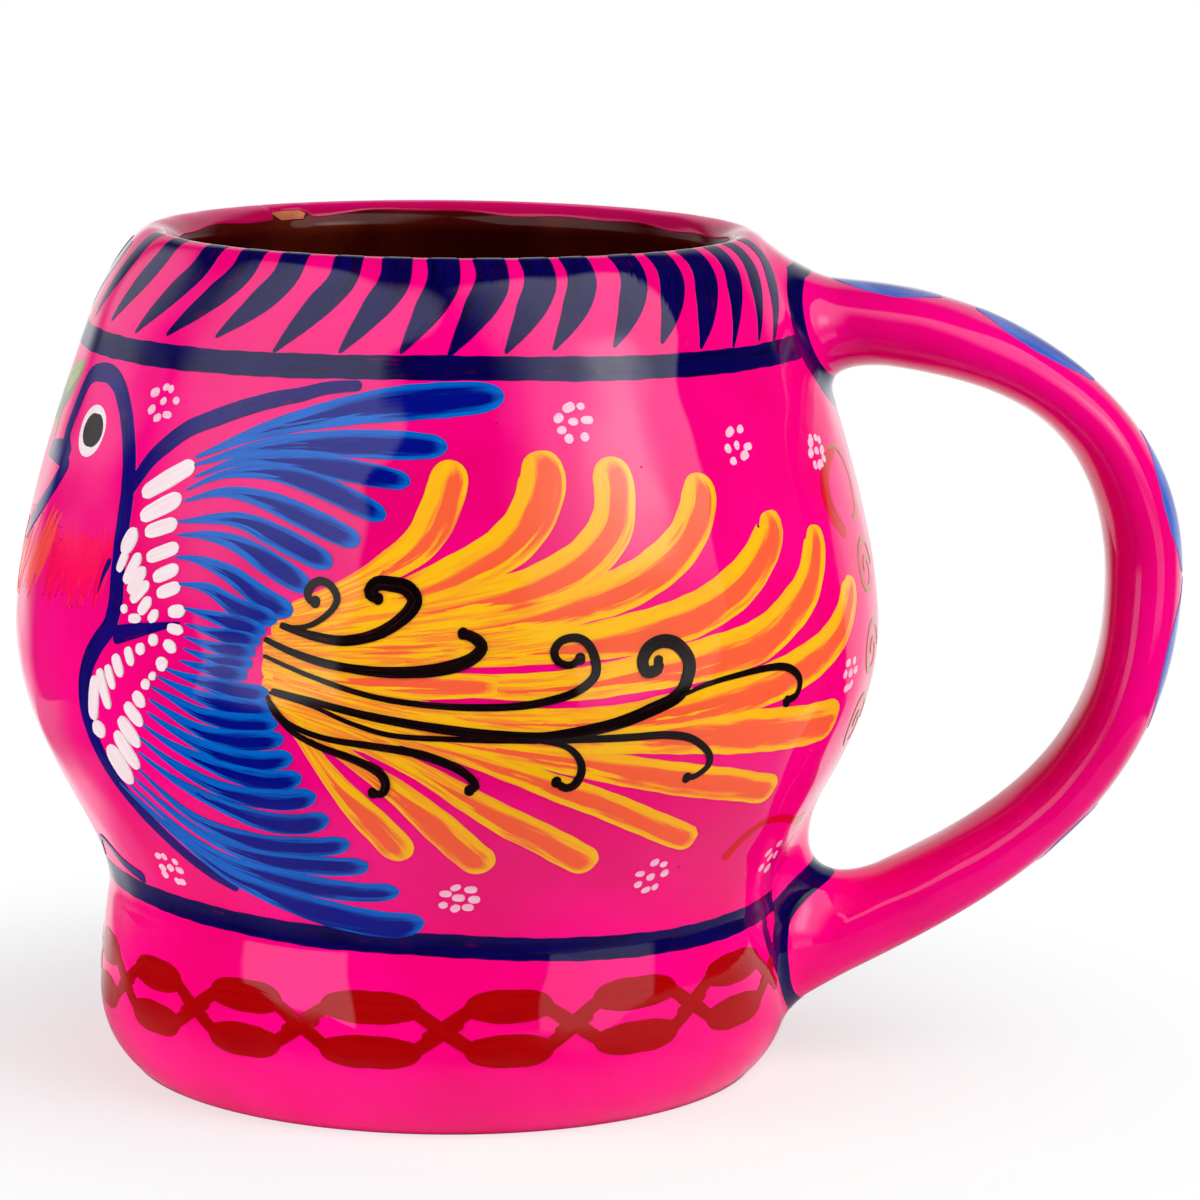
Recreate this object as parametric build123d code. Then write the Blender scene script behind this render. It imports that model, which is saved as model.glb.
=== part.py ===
from build123d import *
from math import cos, pi
import os

# A hand-made clay mug: a round-bellied vessel with a luted strap handle, lined with brown glaze
# and coated with pink enamel. The origin is the centre of the base, on the axis of the body,
# and the handle points along +X. All sizes are in millimetres, all angles in degrees.

# Finished outside of the body: radii, and the rise from each level to the next
BASE_RADIUS = 34.0
FOOT_RADIUS = 38.4
WAIST_RADIUS = 37.4
BELLY_RADIUS = 47.5
SHOULDER_RADIUS = 38.7
LIP_RADIUS = 32.4
BARE_EDGE = 0.6
FOOT_RISE = 8.0
WAIST_RISE = 12.0
BELLY_RISE = 29.0
SHOULDER_RISE = 35.0
LIP_RISE = 8.4

# Directions of the outside where it isn't upright, and how far each curve follows its
# direction before it bends away
BASE_SLOPE = 20.0
SHOULDER_LEAN = 20.0
BASE_PULL = 2.4
FOOT_PULL = 4.0
WAIST_PULL = 7.3
UNDER_BELLY_PULL = 13.0
OVER_BELLY_PULL = 10.0
SHOULDER_PULL = 10.5
LIP_PULL = 2.2

# Inside of the body
WALL = 5.0
FLOOR = 7.0
FLOOR_CORNER = 6.0
MOUTH_ROLL = 2.9
MOUTH_DEPTH = 2.8
MOUTH_LEAN = 35.0
MOUTH_PULL = 10.0

# Fired coats on the clay
ENAMEL = 0.3
GLAZE = 0.3

# Handle: an oval bar on two curves that meet at its outermost point
HANDLE_WIDTH = 15.0
HANDLE_THICKNESS = 8.3
UPPER_THICKNESS = 8.4
NECK_THICKNESS = 7.2
LOWER_THICKNESS = 10.4
FINGER_ROOM = 25.2
UPPER_JOINT_DROP = 1.4
LOWER_JOINT_RISE = 3.9
UPPER_SLOPE = 4.0
LOWER_SLOPE = 23.0
HANDLE_DROP = 27.8
UPPER_PULL = 25.4
UPPER_BEND_PULL = 16.3
LOWER_BEND_PULL = 24.0
LOWER_PULL = 24.0

# Luted joints: a bed of slip under each handle end, and a collar that flares onto the body
SLIP = 0.8
COLLAR_SPREAD = 3.8
COLLAR_LIFT = 2.2
COLLAR_LENGTH = 6.0
COLLAR_EDGE = 0.4
COLLAR_ROOT = 6.0
COLLAR_SECTIONS = 7

# Levels worked out from the sizes above
FOOT_Z = FOOT_RISE
WAIST_Z = FOOT_Z + WAIST_RISE
BELLY_Z = WAIST_Z + BELLY_RISE
SHOULDER_Z = BELLY_Z + SHOULDER_RISE
HEIGHT = SHOULDER_Z + LIP_RISE
MOUTH_Z = HEIGHT - MOUTH_DEPTH
MOUTH_RADIUS = LIP_RADIUS - MOUTH_ROLL + ENAMEL

UP = 90
DOWN = -90


def at(radius, z):
    """A point of the half section in the XZ plane."""
    return Vector(radius, 0, z)


def along(point, angle, length):
    """The point a length away, at an angle from +X towards +Z."""
    return point + Vector(length, 0, 0).rotate(Axis.Y, -angle)


# Outlines of the body's half section

def outside(coat):
    """Curves from the base edge up and over the lip, on the clay or on a coat of this thickness."""
    grow = coat - ENAMEL
    lean = UP + SHOULDER_LEAN
    base = at(BASE_RADIUS + grow, BARE_EDGE)
    foot = at(FOOT_RADIUS + grow, FOOT_Z)
    waist = at(WAIST_RADIUS + grow, WAIST_Z)
    belly = at(BELLY_RADIUS + grow, BELLY_Z)
    shoulder = at(SHOULDER_RADIUS + grow, SHOULDER_Z)
    lip = at(LIP_RADIUS, HEIGHT + grow)
    mouth = at(MOUTH_RADIUS - coat, MOUTH_Z)
    return [
        Bezier(base, along(base, BASE_SLOPE, BASE_PULL), along(foot, DOWN, FOOT_PULL), foot),
        Bezier(foot, along(foot, UP, FOOT_PULL), along(waist, DOWN, FOOT_PULL), waist),
        Bezier(waist, along(waist, UP, WAIST_PULL), along(belly, DOWN, UNDER_BELLY_PULL), belly),
        Bezier(belly, along(belly, UP, OVER_BELLY_PULL), along(shoulder, lean, -SHOULDER_PULL), shoulder),
        Bezier(shoulder, along(shoulder, lean, LIP_PULL), along(lip, 0, LIP_PULL), lip),
        Bezier(lip, along(lip, 180, MOUTH_ROLL / 2), along(mouth, UP, MOUTH_DEPTH / 2), mouth),
    ]


def inside(coat):
    """Curves from the mouth down to the axis, on the clay or on a lining of this thickness."""
    mouth = at(MOUTH_RADIUS - coat, MOUTH_Z)
    belly = at(BELLY_RADIUS - WALL - coat, BELLY_Z)
    waist = at(WAIST_RADIUS - WALL - coat, WAIST_Z)
    corner = at(WAIST_RADIUS - WALL - coat, FLOOR + FLOOR_CORNER)
    floor = at(WAIST_RADIUS - WALL - FLOOR_CORNER, FLOOR + coat)
    centre = at(0, FLOOR + coat)
    bend = along(at(floor.X, corner.Z), DOWN / 2, FLOOR_CORNER - coat)
    lean = DOWN + MOUTH_LEAN
    return [
        Bezier(mouth, along(mouth, lean, MOUTH_PULL), along(belly, UP, OVER_BELLY_PULL), belly),
        Bezier(belly, along(belly, DOWN, UNDER_BELLY_PULL), along(waist, UP, WAIST_PULL), waist),
        Line(waist, corner),
        ThreePointArc(corner, bend, floor),
        Line(floor, centre),
    ]


def turned(edges):
    """The solid turned from a half section whose edges close up."""
    return revolve(make_face(edges), Axis.Z)


def filled_body(coat):
    """The body with its cup filled in, used to trim what sits on its outside."""
    edges = outside(coat)
    rim = edges[-1] @ 1
    base = edges[0] @ 0
    return turned(edges + [Polyline(rim, at(0, MOUTH_Z), at(0, 0), at(base.X, 0), base)])


# Handle and its joints

def handle_curve():
    """The middle line of the handle, from inside the shoulder round to inside the foot."""
    upper = at(SHOULDER_RADIUS - COLLAR_ROOT, SHOULDER_Z - UPPER_JOINT_DROP)
    lower = along(at(FOOT_RADIUS, FOOT_Z + LOWER_JOINT_RISE), LOWER_SLOPE, -COLLAR_ROOT)
    outermost = at(BELLY_RADIUS + FINGER_ROOM + HANDLE_THICKNESS / 2, upper.Z - HANDLE_DROP)
    upper_pull = along(upper, UPPER_SLOPE, COLLAR_ROOT + UPPER_PULL)
    lower_pull = along(lower, LOWER_SLOPE, COLLAR_ROOT + LOWER_PULL)
    return Wire([
        Bezier(upper, upper_pull, along(outermost, UP, UPPER_BEND_PULL), outermost),
        Bezier(outermost, along(outermost, DOWN, LOWER_BEND_PULL), lower_pull, lower),
    ])


def oval(curve, distance, width, thickness):
    """An oval across the handle, its width along Y, at a distance along the middle line."""
    share = distance / curve.length
    plane = Plane(origin=curve @ share, x_dir=(0, 1, 0), z_dir=curve % share)
    return plane * Ellipse(width / 2, thickness / 2)


def handle_bar(curve, coat):
    """The bent bar, thinnest on its upper bend, with an oval at each thickness and halfway between."""
    grow = 2 * (coat - ENAMEL)
    thicknesses = [UPPER_THICKNESS, UPPER_THICKNESS, NECK_THICKNESS, HANDLE_THICKNESS,
                   HANDLE_THICKNESS, HANDLE_THICKNESS, LOWER_THICKNESS, LOWER_THICKNESS]
    count = 2 * len(thicknesses) - 1
    step = curve.length / (count - 1)
    ovals = []
    for number in range(count):
        thickness = (thicknesses[number // 2] + thicknesses[(number + 1) // 2]) / 2
        ovals.append(oval(curve, number * step, HANDLE_WIDTH + grow, thickness + grow))
    return loft(ovals)


def collar(curve, from_end, thickness, coat):
    """A collar round one end of the handle, flaring in an S curve towards its root in the body."""
    grow = 2 * (coat - ENAMEL)
    length = COLLAR_ROOT + COLLAR_LENGTH + coat - ENAMEL
    ovals = []
    for number in range(COLLAR_SECTIONS):
        share = number / (COLLAR_SECTIONS - 1)
        bell = (1 + cos(pi * share)) / 2
        spread = COLLAR_EDGE + (COLLAR_SPREAD - COLLAR_EDGE) * bell
        lift = COLLAR_EDGE + (COLLAR_LIFT - COLLAR_EDGE) * bell
        distance = share * length
        if from_end:
            distance = curve.length - distance
        collar_width = HANDLE_WIDTH + 2 * spread + grow
        collar_thickness = thickness + 2 * lift + grow
        ovals.append(oval(curve, distance, collar_width, collar_thickness))
    return loft(ovals)


# The pieces

def make_clay_body():
    """The fired clay vessel, bare under its foot."""
    outer = outside(0)
    inner = inside(0)
    base = outer[0] @ 0
    bottom = Polyline(inner[-1] @ 1, at(0, 0), at(base.X, 0), base)
    return turned(outer + inner + [bottom])


def make_inner_glaze():
    """The brown glaze on the inside, from just below the lip to the floor."""
    clay = inside(0)
    surface = inside(GLAZE)
    top = Line(clay[0] @ 0, surface[0] @ 0)
    middle = Line(clay[-1] @ 1, surface[-1] @ 1)
    return turned(clay + surface + [top, middle])


def make_body_enamel(collars):
    """The pink coat over the outside and the lip, open where the handle is luted on."""
    clay = outside(0)
    surface = outside(ENAMEL)
    edge = Line(clay[0] @ 0, surface[0] @ 0)
    lip_end = Line(clay[-1] @ 1, surface[-1] @ 1)
    return turned(clay + surface + [edge, lip_end]) - collars


curve = handle_curve()
clay_filled = filled_body(0)
slip_filled = filled_body(SLIP)
upper_finished = collar(curve, False, UPPER_THICKNESS, ENAMEL)
lower_finished = collar(curve, True, LOWER_THICKNESS, ENAMEL)

handle = handle_bar(curve, 0) - slip_filled
upper_joint = collar(curve, False, UPPER_THICKNESS, 0) - clay_filled - handle
lower_joint = collar(curve, True, LOWER_THICKNESS, 0) - clay_filled - handle
body_enamel = make_body_enamel([upper_finished, lower_finished])
handle_finished = handle_bar(curve, ENAMEL) + upper_finished + lower_finished
handle_enamel = handle_finished - clay_filled - handle - upper_joint - lower_joint

pieces = {
    "clay_body": make_clay_body(),
    "inner_glaze": make_inner_glaze(),
    "body_enamel": body_enamel,
    "handle": handle,
    "upper_handle_joint": upper_joint,
    "lower_handle_joint": lower_joint,
    "handle_enamel": handle_enamel,
}

os.makedirs("parts", exist_ok=True)
for name, piece in pieces.items():
    export_step(piece, f"parts/{name}.step")
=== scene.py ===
# A hand-painted clay mug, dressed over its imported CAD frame.
# Sizes here are in millimetres and degrees. Places on the body are an angle, measured from the
# front (-Y) towards the handle (+X), and a height or an arc length up the outside.
# The stage, the lamps and the camera at the end are in metres.

import random

import bpy
import numpy as np
from mathutils import Matrix, Vector


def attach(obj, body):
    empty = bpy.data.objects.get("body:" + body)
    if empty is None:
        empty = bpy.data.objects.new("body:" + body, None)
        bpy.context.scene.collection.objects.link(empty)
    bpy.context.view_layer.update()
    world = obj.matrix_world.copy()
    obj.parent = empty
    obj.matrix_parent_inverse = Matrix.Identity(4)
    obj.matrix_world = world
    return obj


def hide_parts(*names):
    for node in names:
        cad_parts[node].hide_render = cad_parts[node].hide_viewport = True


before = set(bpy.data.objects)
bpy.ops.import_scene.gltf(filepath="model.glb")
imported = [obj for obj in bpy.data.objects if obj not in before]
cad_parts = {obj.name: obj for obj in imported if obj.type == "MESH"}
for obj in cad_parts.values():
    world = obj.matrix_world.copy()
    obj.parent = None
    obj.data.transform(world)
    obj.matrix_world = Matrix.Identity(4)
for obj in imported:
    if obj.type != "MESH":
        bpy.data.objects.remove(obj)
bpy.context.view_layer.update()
chance = random.Random(7)

MM = 0.001
UP = 90
DOWN = -90

# Finished outside of the body, as in the CAD model but for a fuller edge at the base
UNDER_EDGE = (34.8, 0.02)
BASE_RADIUS, BASE_Z = 34.9, 0.25
FOOT_RADIUS, FOOT_Z = 38.4, 8.0
WAIST_RADIUS, WAIST_Z = 37.4, 20.0
BELLY_RADIUS, BELLY_Z = 47.5, 49.0
SHOULDER_RADIUS, SHOULDER_Z = 38.7, 84.0
LIP_RADIUS, HEIGHT = 32.4, 92.4
MOUTH_RADIUS, MOUTH_Z = 29.5, 89.6
BASE_SLOPE = 35
FOOT_LEAN = 8
SHOULDER_LEAN = 20
BASE_PULL = 1.6
FOOT_PULL = 4.0
WAIST_PULL = 7.3
UNDER_BELLY_PULL = 13.0
OVER_BELLY_PULL = 10.0
SHOULDER_PULL = 10.5
LIP_PULL = 2.2

# Inside of the body
WALL = 5.3
FLOOR_Z = 7.3
FLOOR_CORNER = 5.7
MOUTH_LEAN = 35
MOUTH_PULL = 10.0
COAT = 0.3

# Handle: its middle line on two curves, and half sizes of its oval section along it
UPPER_ROOT = (32.7, 82.6)
LOWER_ROOT = (32.88, 9.56)
OUTERMOST = (76.85, 54.8)
UPPER_SLOPE, UPPER_PULL = 4, 31.4
LOWER_SLOPE, LOWER_PULL = 23, 30.0
UPPER_BEND_PULL = 16.3
LOWER_BEND_PULL = 24.0
HANDLE_HALF_WIDTH = 7.5
HANDLE_HALF_THICKNESS = (4.2, 4.1, 3.5, 3.95, 3.8, 3.6, 4.3, 5.2)
HANDLE_SQUARENESS = 0.88
HALF_TURNS = 72

# Luted joints: how far the collars grow the section, and over what length from the handle's ends
COLLAR_LENGTH = 12.3
COLLAR_SPREAD, COLLAR_LIFT = 1.0, 0.5

# Hand-made unevenness
SWELL = 0.12
HANDLE_LUMP = 0.15

# Lacquer: its gloss, the slow waves that bend what it reflects, and the brush's share in them
COAT_ROUGHNESS, COAT_INDEX = 0.02, 1.32
WAVES, WAVE_HEIGHT = 75.0, 0.8
STREAK_SHARE = 0.006

# Radius inside the lip within which the enamel is darkened towards the mouth: painted shade
LIP_SHADE_RADIUS = 30.3

# Brush strokes: rows along, columns across, buried edges and ends, and steps between strokes
ROW_STEP = 0.35
CAP_ROWS = 8
ACROSS = np.array((-1.0, -0.98, -0.6, -0.2, 0.2, 0.6, 0.98, 1.0))
ON_TOP = np.abs(ACROSS) < 1
LAYERS, LAYER_STEP = 12, 0.004
BURIED = -0.05
END_RUN, END_DEPTH = 0.1, -0.01
LEAST_WIDTH = 0.06

# Heights of the layers of paint above the enamel, from the lowest to the highest
WASH_LIFT, STREAK_LIFT, DAB_LIFT, BAND_LIFT = 0.01, 0.012, 0.02, 0.03
TAIL_LIFT, SPOT_LIFT, RING_LIFT, OUTLINE_LIFT = 0.035, 0.04, 0.05, 0.06
PUPIL_LIFT, HEART_LIFT, WING_LIFT, TOP_LIFT = 0.07, 0.08, 0.095, 0.15


# Curves

def polar(point, direction, distance):
    """The point a distance away, at an angle from outwards towards upwards."""
    turn = np.radians(direction)
    return np.add(point, (distance * np.cos(turn), distance * np.sin(turn)))


def bezier(a, b, c, d, count=60):
    """Points along a cubic curve."""
    t = np.linspace(0, 1, count)[:, None]
    s = 1 - t
    return np.outer(s**3, a) + np.outer(3 * s**2 * t, b) + np.outer(3 * s * t**2, c) + np.outer(t**3, d)


def joined(curves):
    """One line through curves that meet end to end."""
    return np.concatenate([curves[0]] + [curve[1:] for curve in curves[1:]])


def smooth_line(points, per_span=10):
    """Points along a smooth line that passes through the given ones."""
    p = np.asarray(points, float)
    if len(p) == 2:
        return np.linspace(p[0], p[1], per_span + 1)
    q = np.vstack((2 * p[0] - p[1], p, 2 * p[-1] - p[-2]))
    t = np.linspace(0, 1, per_span, endpoint=False)[:, None]
    spans = []
    for a, b, c, d in zip(q, q[1:], q[2:], q[3:]):
        spans.append(b + (c - a) * t / 2 + (a - 2.5 * b + 2 * c - d / 2) * t**2
                     + (3 * b - a - 3 * c + d) * t**3 / 2)
    return np.vstack(spans + [p[-1:]])


def distances(line):
    """The distance along a line at each of its points."""
    steps = np.linalg.norm(np.diff(line, axis=0), axis=1)
    return np.concatenate(([0], np.cumsum(steps)))


def outside_line():
    """The finished outside in half section, from the base edge over the lip into the mouth."""
    base = (BASE_RADIUS, BASE_Z)
    foot = (FOOT_RADIUS, FOOT_Z)
    waist = (WAIST_RADIUS, WAIST_Z)
    belly = (BELLY_RADIUS, BELLY_Z)
    shoulder = (SHOULDER_RADIUS, SHOULDER_Z)
    lip = (LIP_RADIUS, HEIGHT)
    mouth = (MOUTH_RADIUS, MOUTH_Z)
    lean = UP + SHOULDER_LEAN
    return joined([
        np.linspace(UNDER_EDGE, base, 6),
        bezier(base, polar(base, BASE_SLOPE, BASE_PULL), polar(foot, DOWN, FOOT_PULL), foot),
        bezier(foot, polar(foot, UP, FOOT_PULL), polar(waist, DOWN + FOOT_LEAN, FOOT_PULL), waist),
        bezier(waist, polar(waist, UP, WAIST_PULL), polar(belly, DOWN, UNDER_BELLY_PULL), belly),
        bezier(belly, polar(belly, UP, OVER_BELLY_PULL), polar(shoulder, lean, -SHOULDER_PULL), shoulder),
        bezier(shoulder, polar(shoulder, lean, LIP_PULL), polar(lip, 0, LIP_PULL), lip),
        bezier(lip, polar(lip, 180, (LIP_RADIUS - MOUTH_RADIUS) / 2),
               polar(mouth, UP, (HEIGHT - MOUTH_Z) / 2), mouth),
    ])


def inside_line():
    """The finished inside in half section, from the axis over the floor up to the mouth."""
    mouth = (MOUTH_RADIUS, MOUTH_Z)
    belly = (BELLY_RADIUS - WALL, BELLY_Z)
    waist = (WAIST_RADIUS - WALL, WAIST_Z)
    corner = (WAIST_RADIUS - WALL, FLOOR_Z + FLOOR_CORNER)
    turns = np.linspace(DOWN, 0, 12)
    middle = (WAIST_RADIUS - WALL - FLOOR_CORNER, FLOOR_Z + FLOOR_CORNER)
    bend = np.array([polar(middle, turn, FLOOR_CORNER) for turn in turns])
    return joined([
        np.linspace((1.0, FLOOR_Z), bend[0], 12),
        bend,
        np.linspace(corner, waist, 6),
        bezier(waist, polar(waist, UP, WAIST_PULL), polar(belly, DOWN, UNDER_BELLY_PULL), belly),
        bezier(belly, polar(belly, UP, OVER_BELLY_PULL), polar(mouth, DOWN + MOUTH_LEAN, MOUTH_PULL), mouth),
    ])


# Surfaces that carry paint

def swell(turn, z):
    """How far the hand-made wall stands out at a turn in radians and a height."""
    return SWELL * (1 + np.sin(2 * turn + 0.6 + z / 30) / 2 + np.sin(3 * turn - 1.1 - z / 20) / 2)


class TurnedWall:
    """A turned surface, addressed by angle in degrees and arc length in millimetres."""

    def __init__(self, line):
        self.line = line
        self.arc = distances(line)
        self.top = int(np.argmax(line[:, 1]))
        along = np.gradient(line, self.arc, axis=0)
        along /= np.linalg.norm(along, axis=1)[:, None]
        self.normal = np.column_stack((along[:, 1], -along[:, 0]))

    def arc_at(self, z):
        """Arc length at a height on the outside, below the lip."""
        return np.interp(z, self.line[:self.top + 1, 1], self.arc[:self.top + 1])

    def radius_at(self, z):
        """Radius at a height on the outside, below the lip."""
        return np.interp(z, self.line[:self.top + 1, 1], self.line[:self.top + 1, 0])

    def scale(self, arc):
        """Millimetres round the surface for each degree."""
        return np.radians(np.interp(arc, self.arc, self.line[:, 0]))

    def point(self, angle, arc, lift):
        """Points in millimetres, a height above the surface."""
        radius = np.interp(arc, self.arc, self.line[:, 0])
        z = np.interp(arc, self.arc, self.line[:, 1])
        out = np.interp(arc, self.arc, self.normal[:, 0])
        up = np.interp(arc, self.arc, self.normal[:, 1])
        turn = np.radians(angle)
        reach = radius + out * (lift + swell(turn, z))
        return np.stack((reach * np.sin(turn), -reach * np.cos(turn), z + up * lift), axis=-1)


class HandleBar:
    """The handle's surface, addressed by distance along and distance round from its outermost line."""

    def __init__(self):
        upper = bezier(UPPER_ROOT, polar(UPPER_ROOT, UPPER_SLOPE, UPPER_PULL),
                       polar(OUTERMOST, UP, UPPER_BEND_PULL), OUTERMOST)
        lower = bezier(OUTERMOST, polar(OUTERMOST, DOWN, LOWER_BEND_PULL),
                       polar(LOWER_ROOT, LOWER_SLOPE, LOWER_PULL), LOWER_ROOT)
        self.line = joined([upper, lower])
        self.run = distances(self.line)
        self.length = self.run[-1]
        along = np.gradient(self.line, self.run, axis=0)
        along /= np.linalg.norm(along, axis=1)[:, None]
        self.outward = np.column_stack((-along[:, 1], along[:, 0]))
        stations = np.linspace(0, self.length, len(HANDLE_HALF_THICKNESS))
        self.thickness = smooth_line(np.column_stack((stations, HANDLE_HALF_THICKNESS)))
        self.turns = np.linspace(-180, 180, 2 * HALF_TURNS + 1)
        oval = self.section(self.turns, *self.half_sizes(np.full_like(self.turns, self.length / 2)))
        girth = distances(np.column_stack(oval))
        self.girth = girth - girth[HALF_TURNS]

    def half_sizes(self, distance):
        """Half thickness and half width at a distance along, with the collars at both ends."""
        from_end = np.minimum(distance, self.length - distance)
        bell = (1 + np.cos(np.pi * np.clip(from_end / COLLAR_LENGTH, 0, 1))) / 2
        return (np.interp(distance, *self.thickness.T) + COLLAR_LIFT * bell,
                HANDLE_HALF_WIDTH + COLLAR_SPREAD * bell)

    def section(self, turn, half_thickness, half_width):
        """Offsets outwards and towards the front at a turn round the section."""
        c, s = np.cos(np.radians(turn)), np.sin(np.radians(turn))
        out = half_thickness * np.sign(c) * np.abs(c) ** HANDLE_SQUARENESS
        side = half_width * np.sign(s) * np.abs(s) ** HANDLE_SQUARENESS
        return out, side

    def scale(self, across):
        """Millimetres for each unit along, which is one."""
        return np.ones_like(across)

    def at_turn(self, distance, turn, lift):
        """Points in millimetres at a distance along and a turn round the section."""
        thick, wide = self.half_sizes(distance)
        lump = HANDLE_LUMP * (1 + np.sin(distance / 7.1 + np.radians(2 * turn)) / 2
                              + np.sin(distance / 11.3 - np.radians(turn) + 1) / 2)
        out, side = self.section(turn, thick, wide)
        c, s = np.cos(np.radians(turn)) / thick, np.sin(np.radians(turn)) / wide
        out = out + (lift + lump) * c / np.hypot(c, s)
        side = side + (lift + lump) * s / np.hypot(c, s)
        middle = [np.interp(distance, self.run, self.line[:, axis]) for axis in (0, 1)]
        outward = [np.interp(distance, self.run, self.outward[:, axis]) for axis in (0, 1)]
        return np.stack((middle[0] + out * outward[0], -side, middle[1] + out * outward[1]), axis=-1)

    def point(self, distance, across, lift):
        """Points in millimetres, a height above the surface."""
        return self.at_turn(distance, np.interp(across, self.girth, self.turns), lift)


wall = TurnedWall(outside_line())
lining = TurnedWall(inside_line())
bar = HandleBar()
LIP_ARC = wall.arc[wall.top]
MOUTH_ARC = wall.arc[-1]


def on_wall(points):
    """Places given as angle and height, as angle and arc length."""
    return [(angle, wall.arc_at(z)) for angle, z in points]


# Meshes

def facing(faces, points, normals):
    """The faces of painted strips, turned over if they face against the surface below."""
    face = faces[len(ACROSS) // 2]
    a, b, c = points[face[:3]]
    against = np.dot(np.cross(b - a, c - a), normals[face[0]]) < 0
    return [face[::-1] for face in faces] if against else faces


def new_piece(name, points, faces, material, replaced=(), normals=None, layers=()):
    """A piece of the mug from points in millimetres, riding on the body."""
    mesh = bpy.data.meshes.new(name)
    if normals is not None:
        faces = facing(faces, points, normals)
    mesh.from_pydata((np.asarray(points) * MM).tolist(), [], faces)
    mesh.shade_smooth()
    if normals is not None:
        mesh.normals_split_custom_set_from_vertices(normals.tolist())
    corners = np.empty(len(mesh.loops), int)
    mesh.loops.foreach_get("vertex_index", corners)
    for layer, values in layers:
        uv = mesh.uv_layers.new(name=layer)
        uv.data.foreach_set("uv", np.asarray(values)[corners].ravel())
    mesh.materials.append(material)
    piece = bpy.data.objects.new(name, mesh)
    bpy.context.scene.collection.objects.link(piece)
    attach(piece, "root")
    if replaced:
        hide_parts(*replaced)


def grid_faces(rows, columns, rows_close, columns_close):
    """Quads of a grid of points, which may close on itself either way."""
    down = np.arange(rows if rows_close else rows - 1)
    over = np.arange(columns if columns_close else columns - 1)
    i, j = np.meshgrid(down, over, indexing="ij")
    i2, j2 = (i + 1) % rows, (j + 1) % columns
    quads = np.stack((i * columns + j, i * columns + j2, i2 * columns + j2, i2 * columns + j), axis=-1)
    return quads.reshape(-1, 4).tolist()


def tube_faces(rows, columns):
    """Quads of rows of points that close round, and a face over each end."""
    first = list(range(columns))
    last = list(range((rows - 1) * columns, rows * columns))
    return grid_faces(rows, columns, False, True) + [first[::-1], last]


def brush_values(along):
    """For each point of a stroke, its share of the way along and of the way across."""
    down = np.broadcast_to(np.asarray(along)[:, None], (len(along), len(ACROSS)))
    over = np.broadcast_to((ACROSS + 1) / 2, down.shape)
    return np.stack((down, over), axis=-1).reshape(-1, 2)


class Paint:
    """Brush strokes that make one piece: thin strips with buried edges, shaded like the surface below."""

    def __init__(self, surface, lift):
        self.surface = surface
        self.lift = lift
        self.points, self.faces, self.normals = [], [], []
        self.brush, self.dab, self.core = [], [], []
        self.count = 0

    def stroke(self, line, width, shape=(1, 1), caps=(0.5, 0.5), core=(0.5, 0.3), ragged=0.012):
        """One stroke along a line, its width following a shape, its ends rounded over the caps."""
        path = smooth_line(line)
        scale = self.surface.scale(path[:, 1])
        sizes = np.column_stack((path[:, 0] * scale.mean(), path[:, 1]))
        run = distances(sizes)
        length = run[-1]
        quarter = 1 - np.cos(np.linspace(0, np.pi / 2, CAP_ROWS))
        middle = np.linspace(caps[0], length - caps[1], max(4, int(length / ROW_STEP)))
        rows = np.unique(np.concatenate((caps[0] * quarter, middle, length - caps[1] * quarter)).round(4))
        first = np.interp(rows, run, path[:, 0])
        second = np.interp(rows, run, path[:, 1])
        scale = self.surface.scale(second)
        ahead = np.column_stack((np.gradient(first, rows) * scale, np.gradient(second, rows)))
        ahead /= np.linalg.norm(ahead, axis=1)[:, None]

        keys = smooth_line(np.column_stack((np.linspace(0, 1, len(shape)), shape)))
        half = width / 2 * np.interp(rows / length, keys[:, 0], keys[:, 1])
        from_start = np.clip(1 - rows / max(caps[0], 1e-3), 0, 1)
        from_end = np.clip(1 - (length - rows) / max(caps[1], 1e-3), 0, 1)
        half *= np.sqrt(1 - from_start**2) * np.sqrt(1 - from_end**2)
        phase = 6 * chance.random()
        waver = np.sin(rows * 0.4 + phase) + np.sin(rows * 0.9 + 3 * phase) + np.sin(rows * 1.9)
        half *= 1 + ragged * waver
        half = np.maximum(half, LEAST_WIDTH / 2)

        across = half[:, None] * ACROSS
        firsts = first[:, None] - ahead[:, 1:] * across / scale[:, None]
        seconds = second[:, None] + ahead[:, :1] * across
        top = self.lift + LAYER_STEP * (self.count % LAYERS)
        risen = np.clip(np.minimum(rows, length - rows) / END_RUN, 0, 1)
        lifts = np.where(ON_TOP, (END_DEPTH + (top - END_DEPTH) * risen)[:, None], BURIED)
        bare = self.surface.point(firsts, seconds, np.zeros_like(lifts))
        normals = self.surface.point(firsts, seconds, np.ones_like(lifts)) - bare
        self.add(self.surface.point(firsts, seconds, lifts), normals, rows / length, length, core)

    def add(self, grid, normals, along, length, core):
        """Takes in a grid of points, rows along a stroke and columns across it."""
        rows, columns = grid.shape[:2]
        start = sum(len(block) for block in self.points)
        self.faces += (np.array(grid_faces(rows, columns, False, False)) + start).tolist()
        self.points.append(grid.reshape(-1, 3))
        self.normals.append(normals.reshape(-1, 3))
        self.brush.append(brush_values(along))
        self.dab.append(np.tile((chance.random(), length / 100), (rows * columns, 1)))
        self.core.append(np.tile(core, (rows * columns, 1)))
        self.count += 1

    def piece(self, name, material, slot):
        """Makes the painted piece."""
        blocks = {"brush": self.brush, "dab": self.dab, "core": self.core}
        layers = [(layer, np.vstack(values)) for layer, values in blocks.items()]
        new_piece(name, np.vstack(self.points), self.faces, material,
                  normals=np.vstack(self.normals), layers=layers)


# Materials

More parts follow.
